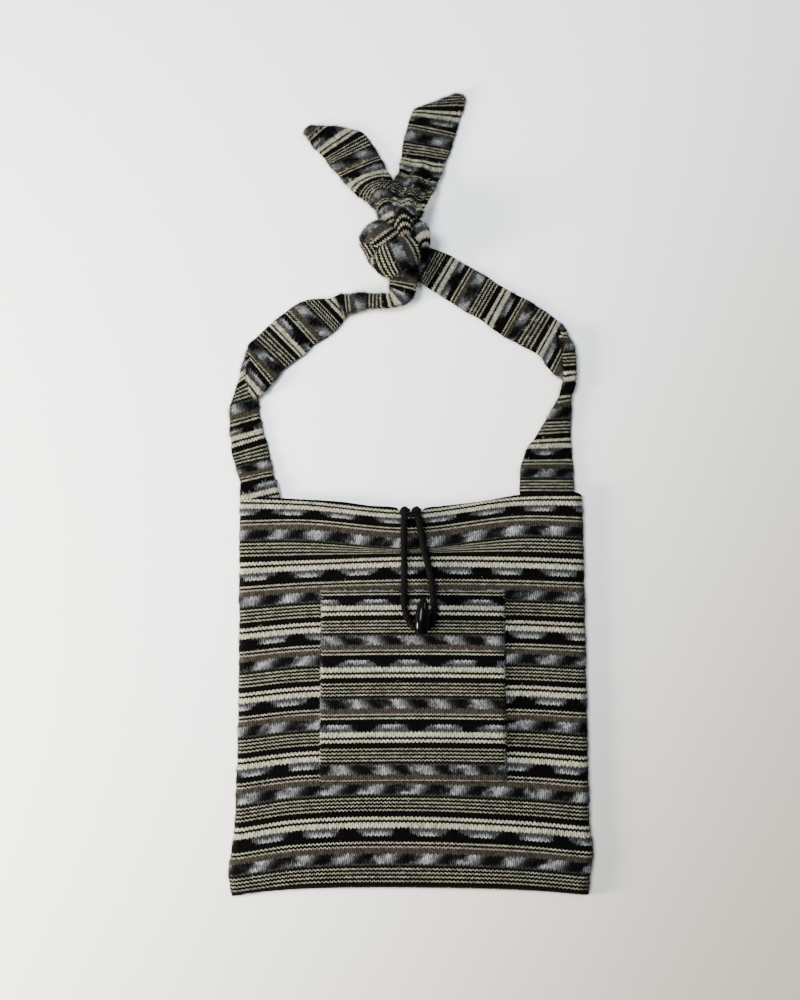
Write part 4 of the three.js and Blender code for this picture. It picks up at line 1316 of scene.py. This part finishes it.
def toggle_material():
    material = bpy.data.materials.new("toggle_gloss")
    material.use_nodes = True
    tree = material.node_tree
    shader = tree.nodes["Principled BSDF"]
    place_node = tree.nodes.new("ShaderNodeTexCoord")
    grain = tree.nodes.new("ShaderNodeTexNoise")
    grain.inputs["Scale"].default_value = 160
    grain.inputs["Detail"].default_value = 4
    tree.links.new(place_node.outputs["Object"], grain.inputs["Vector"])
    tone = ramp(tree, Field(tree, grain.outputs["Fac"]), TOGGLE_TONES)
    tree.links.new(tone.outputs["Color"], shader.inputs["Base Color"])
    wear = tree.nodes.new("ShaderNodeMapRange")
    wear.inputs["To Min"].default_value = 0.05
    wear.inputs["To Max"].default_value = 0.10
    tree.links.new(grain.outputs["Fac"], wear.inputs["Value"])
    tree.links.new(wear.outputs["Result"], shader.inputs["Roughness"])
    shader.inputs["Specular IOR Level"].default_value = 0.07
    return material


braided_cord = braided_cord_material()
toggle_gloss = toggle_material()
closure_cord.data.materials.append(braided_cord)
print("cord material:", len(braided_cord.node_tree.nodes), "nodes")

# %% [markdown]
# ## Toggle and shank
#
# The toggle is a long bead, blunt below and slim above. A profile turned about its own axis gives the
# shape. It is held clear of the pocket by a short shank, which is black thread wound round itself.

# %% Toggle and shank
TOGGLE_LENGTH, TOGGLE_DIAMETER = 32 * MM, 12.5 * MM
TOGGLE_X, TOGGLE_Y, TOGGLE_LEAN = 8.8 * MM, 69.5 * MM, radians(4)
SHANK_DIAMETER = 4 * MM
TOGGLE_PROFILE = [
    (0.0, 0.0),
    (0.02, 0.45),
    (0.08, 0.78),
    (0.2, 0.96),
    (0.4, 1.0),
    (0.62, 0.9),
    (0.8, 0.68),
    (0.92, 0.42),
    (0.98, 0.2),
    (1.0, 0.0),
]
POCKET_TOP = front_top(TOGGLE_X, TOGGLE_Y) + CLEARANCE + POCKET_LOFT
TOGGLE_UNDER = POCKET_TOP + CORD_DIAMETER + 3 * CLEARANCE


def turned(profile, sides):
    """Points and faces of a profile turned about its axis, which starts and ends on it."""
    turn = np.linspace(0, 2 * pi, sides, endpoint=False)
    along, radius = profile[1:-1, 0], profile[1:-1, 1]
    rings = np.stack([
        radius[:, None] * np.cos(turn),
        along[:, None] * np.ones_like(turn),
        radius[:, None] * np.sin(turn),
    ], -1).reshape(-1, 3)
    points = np.vstack([rings, [0, profile[0, 0], 0], [0, profile[-1, 0], 0]])
    index = np.arange(len(rings)).reshape(-1, sides)
    beside = np.roll(index, -1, axis=1)
    faces = np.stack([index[:-1], index[1:], beside[1:], beside[:-1]], -1).reshape(-1, 4).tolist()
    faces += [[len(rings), int(a), int(b)] for a, b in zip(index[0], beside[0])]
    faces += [[len(rings) + 1, int(b), int(a)] for a, b in zip(index[-1], beside[-1])]
    return points, faces


profile = smooth_curve([((a - 0.5) * TOGGLE_LENGTH, r * TOGGLE_DIAMETER / 2) for a, r in TOGGLE_PROFILE], 60)
profile[:, 1] = np.maximum(profile[:, 1], 0)
points, faces = turned(profile, 64)
lean = np.array([
    [cos(TOGGLE_LEAN), -sin(TOGGLE_LEAN), 0],
    [sin(TOGGLE_LEAN), cos(TOGGLE_LEAN), 0],
    [0, 0, 1],
])
points = points @ lean + [TOGGLE_X, TOGGLE_Y, TOGGLE_UNDER + TOGGLE_DIAMETER / 2]
toggle_bead = make_piece("toggle_bead", points, faces, material=toggle_gloss)


def wound_shank():
    base, top = POCKET_TOP + CLEARANCE, TOGGLE_UNDER - CLEARANCE
    core = np.linspace([TOGGLE_X, TOGGLE_Y, base], [TOGGLE_X, TOGGLE_Y, top], 8)
    thread = 0.35 * MM
    turns = (top - base - 2 * thread) / (2 * thread)
    share = np.linspace(0, 1, int(turns * 20))
    angle = share * turns * 2 * pi
    reach = SHANK_DIAMETER / 2 - thread
    coil = np.stack([
        TOGGLE_X + reach * np.cos(angle),
        TOGGLE_Y + reach * np.sin(angle),
        base + thread + share * (top - base - 2 * thread),
    ], -1)
    return joined([tube(core, 0.7 * SHANK_DIAMETER / 2, 16), tube(coil, thread, 7)])


points, faces = wound_shank()
shank_thread = make_piece("shank_thread", points, faces, material=braided_cord)
print("toggle:", triangles(toggle_bead), "triangles, shank:", triangles(shank_thread))

# %% [markdown]
# ## Loose fibres
#
# Brushed and space-dyed rows are hairy, and that shows where the cloth ends against the floor: the edge
# is a soft line, not a cut one. Each fibre is a thin spike that grows from the cloth and takes the
# colour of the stitch at its root. Hair particles would draw faster, but spikes stay in the model.

# %% Fibres
FIBRE_THICK = 0.15 * MM


def fibres(name, cloth, count, length=1.5 * MM, seed=1):
    """Spikes on a cloth: more in its hairy rows, and most where it turns away to its edge."""
    rng = np.random.default_rng(seed)
    mesh = cloth.data
    corners = np.array([list(face.vertices) for face in mesh.polygons if len(face.vertices) == 4])
    loops = np.array([face.loop_start for face in mesh.polygons if len(face.vertices) == 4])
    points = np.array([vertex.co for vertex in mesh.vertices])
    uv = np.array([item.uv for item in mesh.uv_layers["stitches"].data])
    a, b, c, d = (points[corners[:, k]] for k in range(4))
    normal = np.cross(c - a, d - b)
    area = np.linalg.norm(normal, axis=1)
    rows = uv[loops][:, 1] % REPEAT
    hairy = np.interp(rows, [row for row, _ in FUZZ_STOPS], [value for _, value in FUZZ_STOPS])
    tilt = normal[:, 2] / np.maximum(area, 1e-12)
    weight = area * (hairy + 0.1) * (tilt > -0.3) * (1 + 14 * (1 - np.abs(tilt)) ** 2)
    pick = rng.choice(len(weight), count, p=weight / weight.sum())
    s, t = rng.random((2, count, 1))
    quad = [group[pick] for group in (a, b, c, d)]
    root = (1 - s) * ((1 - t) * quad[0] + t * quad[3]) + s * ((1 - t) * quad[1] + t * quad[2])
    out = unit(normal[pick])
    way = unit(out * 0.45 + rng.normal(0, 0.6, (count, 3)))
    way = unit(way + out * np.maximum(0.15 - (way * out).sum(1, keepdims=True), 0))
    side = unit(np.cross(way, rng.normal(0, 1, (count, 3))))
    other = np.cross(way, side)
    tip = root + way * length * rng.uniform(0.5, 1.3, (count, 1))
    base = [
        root - 0.1 * MM * out + FIBRE_THICK * (cos(turn) * side + sin(turn) * other)
        for turn in (0, 2.1, 4.2)
    ]
    spikes = np.stack([*base, tip], 1).reshape(-1, 3)
    spikes[:, 2] = np.maximum(spikes[:, 2], 0.05 * MM)
    first = np.arange(count)[:, None] * 4
    faces = np.concatenate([first + corner for corner in ([0, 2, 1], [0, 1, 3], [1, 2, 3], [2, 0, 3])])
    stitches = np.repeat(uv[loops[pick]], 4, axis=0)
    piece = make_piece(name, spikes, faces.tolist(), stitches, striped_knit)
    print(name, triangles(piece), "triangles")
    return piece


FIBRES = [
    ("front_fibres", front_cloth, 16000, 1.7 * MM),
    ("back_fibres", back_cloth, 6000, 1.8 * MM),
    ("pocket_fibres", pocket_cloth, 5000, 1.5 * MM),
    ("strap_left_fibres", strap_left, 12000, 3.2 * MM),
    ("strap_right_fibres", strap_right, 12000, 3.2 * MM),
    ("tail_left_fibres", tail_left, 7000, 3.2 * MM),
    ("tail_right_fibres", tail_right, 8000, 3.2 * MM),
    ("knot_fibres", strap_knot, 9000, 3.0 * MM),
]
fibre_pieces = [
    fibres(name, cloth, count, length, seed) for seed, (name, cloth, count, length) in enumerate(FIBRES)
]

# %% [markdown]
# ## Hand stitches
#
# Black thread is wound round each end of the cord, and a few turns round both, where they enter the
# bag. Small stitches hold the pocket at its sides, in the yarn of the rows that they cross. Stitches
# this big are tubes: they stand up and cast shadows.

# %% Winding and pocket stitches
COILS_MM = [
    {"middle": -5.6, "reach": 3.6, "turns": 6, "foot": 155.6, "tall": 5.6},
    {"middle": 4.4, "reach": 3.4, "turns": 6, "foot": 156.0, "tall": 5.4},
    {"middle": -0.6, "reach": 8.0, "turns": 4, "foot": 154.6, "tall": 3.4},
]
COIL_HEIGHT_MM = 11.0
COIL_THREAD = 0.65 * MM


def winding():
    share = np.linspace(0, 1, 200)
    coils = []
    for coil in COILS_MM:
        angle = share * coil["turns"] * 2 * pi
        line = np.stack([
            coil["middle"] + (coil["reach"] + 0.4 * np.sin(angle * 0.37)) * np.cos(angle),
            coil["foot"] + coil["tall"] * share + 0.8 * np.sin(angle * 2.3),
            COIL_HEIGHT_MM + (3.7 + 0.5 * np.sin(angle * 0.61)) * np.sin(angle),
        ], -1)
        coils.append(tube(line * MM, COIL_THREAD, 6))
    return joined(coils)


points, faces = winding()
cord_winding = make_piece("cord_winding", points, faces, material=braided_cord)

STITCH_PITCH = 3.2 * MM


def pocket_stitches():
    parts = []
    rows = np.arange(POCKET_Y - POCKET_HEIGHT / 2 + 2 * MM, POCKET_Y + POCKET_HEIGHT / 2, STITCH_PITCH)
    for side in (-1, 1):
        for row in rows:
            edge = POCKET_X + side * POCKET_WIDTH / 2
            share = np.linspace(0, 1, 6)
            x = edge + side * (0.9 - 2.6 * share) * MM
            y = row + share * 0.9 * MM
            rise = np.array([0.2, 0.9, 1.7, 2.4, 2.8, 2.6]) * MM
            parts.append(tube(np.stack([x, y, front_top(x, y) + rise], -1), 0.3 * MM, 5))
    return joined(parts)


points, faces = pocket_stitches()
counts = np.stack([points[:, 0] / STITCH, pocket_rows(points[:, 0], points[:, 1] + 2 * MM)], -1)
pocket_thread = make_piece("pocket_thread", points, faces, counts, striped_knit)
print("winding", triangles(cord_winding), "and pocket stitches", triangles(pocket_thread), "triangles")

# %% [markdown]
# ## Floor and light
#
# The bag lay on a pale surface, near a window at its left. A large lamp overhead is the room's soft
# light, a low warm one at the left is the window's side, and a faint cool one fills the shadows from the
# right. The floor's colour carries painted shade: it darkens slowly away from the window, which near
# lamps alone don't do.

# %% Floor and light
def floor_material():
    material = bpy.data.materials.new("pale_floor")
    material.use_nodes = True
    tree = material.node_tree
    shader = tree.nodes["Principled BSDF"]
    place_node = tree.nodes.new("ShaderNodeTexCoord")
    split = tree.nodes.new("ShaderNodeSeparateXYZ")
    tree.links.new(place_node.outputs["Object"], split.inputs[0])
    # painted shade: the floor's colour darkens away from the window, towards the right and the bag's foot
    painted_shade_from_window = Field(tree, split.outputs[0]) - Field(tree, split.outputs[1]) * 0.6
    grain = noise(tree, Field(tree, split.outputs[0]) * 6.0, Field(tree, split.outputs[1]) * 6.0)
    tone = ramp(tree, (painted_shade_from_window + grain * 0.01).step(-0.25, 0.5), [
        (0.0, (0.95, 0.945, 0.93, 1)),
        (1.0, (0.48, 0.44, 0.36, 1)),
    ])
    tree.links.new(tone.outputs["Color"], shader.inputs["Base Color"])
    shader.inputs["Roughness"].default_value = 0.9
    shader.inputs["Specular IOR Level"].default_value = 0.1
    return material


def area_light(name, location, aim, size, power, colour):
    data = bpy.data.lights.new(name, "AREA")
    data.shape, data.size, data.energy, data.color = "DISK", size, power, colour
    lamp = bpy.data.objects.new(name, data)
    lamp.location = location
    way = np.array(aim, float) - np.array(location, float)
    lamp.rotation_euler = Vector(way).to_track_quat("-Z", "Y").to_euler()
    bpy.context.scene.collection.objects.link(lamp)
    print(name, power, "W")


floor_points = np.array([[-3, -3, 0], [3, -3, 0], [3, 3, 0], [-3, 3, 0]], float)
floor = make_piece("floor", floor_points, [[0, 1, 2, 3]], material=floor_material(), smooth=False)
area_light("overhead", (-0.6, 0.4, 1.2), (-0.2, 0.12, 0), 0.6, 39, (0.93, 0.97, 1.0))
area_light("warm_side", (-1.2, -0.1, 0.36), (0, 0.12, 0), 0.35, 72, (1.0, 0.91, 0.79))
area_light("cool_side", (0.9, 0.9, 1.1), (0, 0.1, 0), 0.6, 12, (0.74, 0.86, 1.0))
world = bpy.data.worlds.new("room")
world.use_nodes = True
world.node_tree.nodes["Background"].inputs[0].default_value = (0.94, 0.97, 1.0, 1)
world.node_tree.nodes["Background"].inputs[1].default_value = 0.26
bpy.context.scene.world = world

# %% [markdown]
# ## What each piece stands for
#
# Every piece rides on the bag's one body and replaces the plain solid whose form it has.

# %% Pieces on the body
PIECES = [
    (front_cloth, "front_panel", "striped_knit"),
    (back_cloth, "back_panel", "striped_knit"),
    (pocket_cloth, "pocket", "striped_knit"),
    (strap_left, "strap_left", "striped_knit"),
    (strap_right, "strap_right", "striped_knit"),
    (strap_knot, "strap_knot", "striped_knit"),
    (tail_left, "tail_left", "striped_knit"),
    (tail_right, "tail_right", "striped_knit"),
    (closure_cord, "closure_loop", "braided_cord"),
    (toggle_bead, "toggle", "toggle_gloss"),
    (shank_thread, "toggle_shank", "braided_cord"),
]
for piece, node, slot in PIECES:
    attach(piece, "root")
    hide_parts(node)
for piece in (*fibre_pieces, pocket_thread):
    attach(piece, "root")
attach(cord_winding, "root")
print("pieces:", len(PIECES), "for solids and", len(fibre_pieces) + 2, "more")
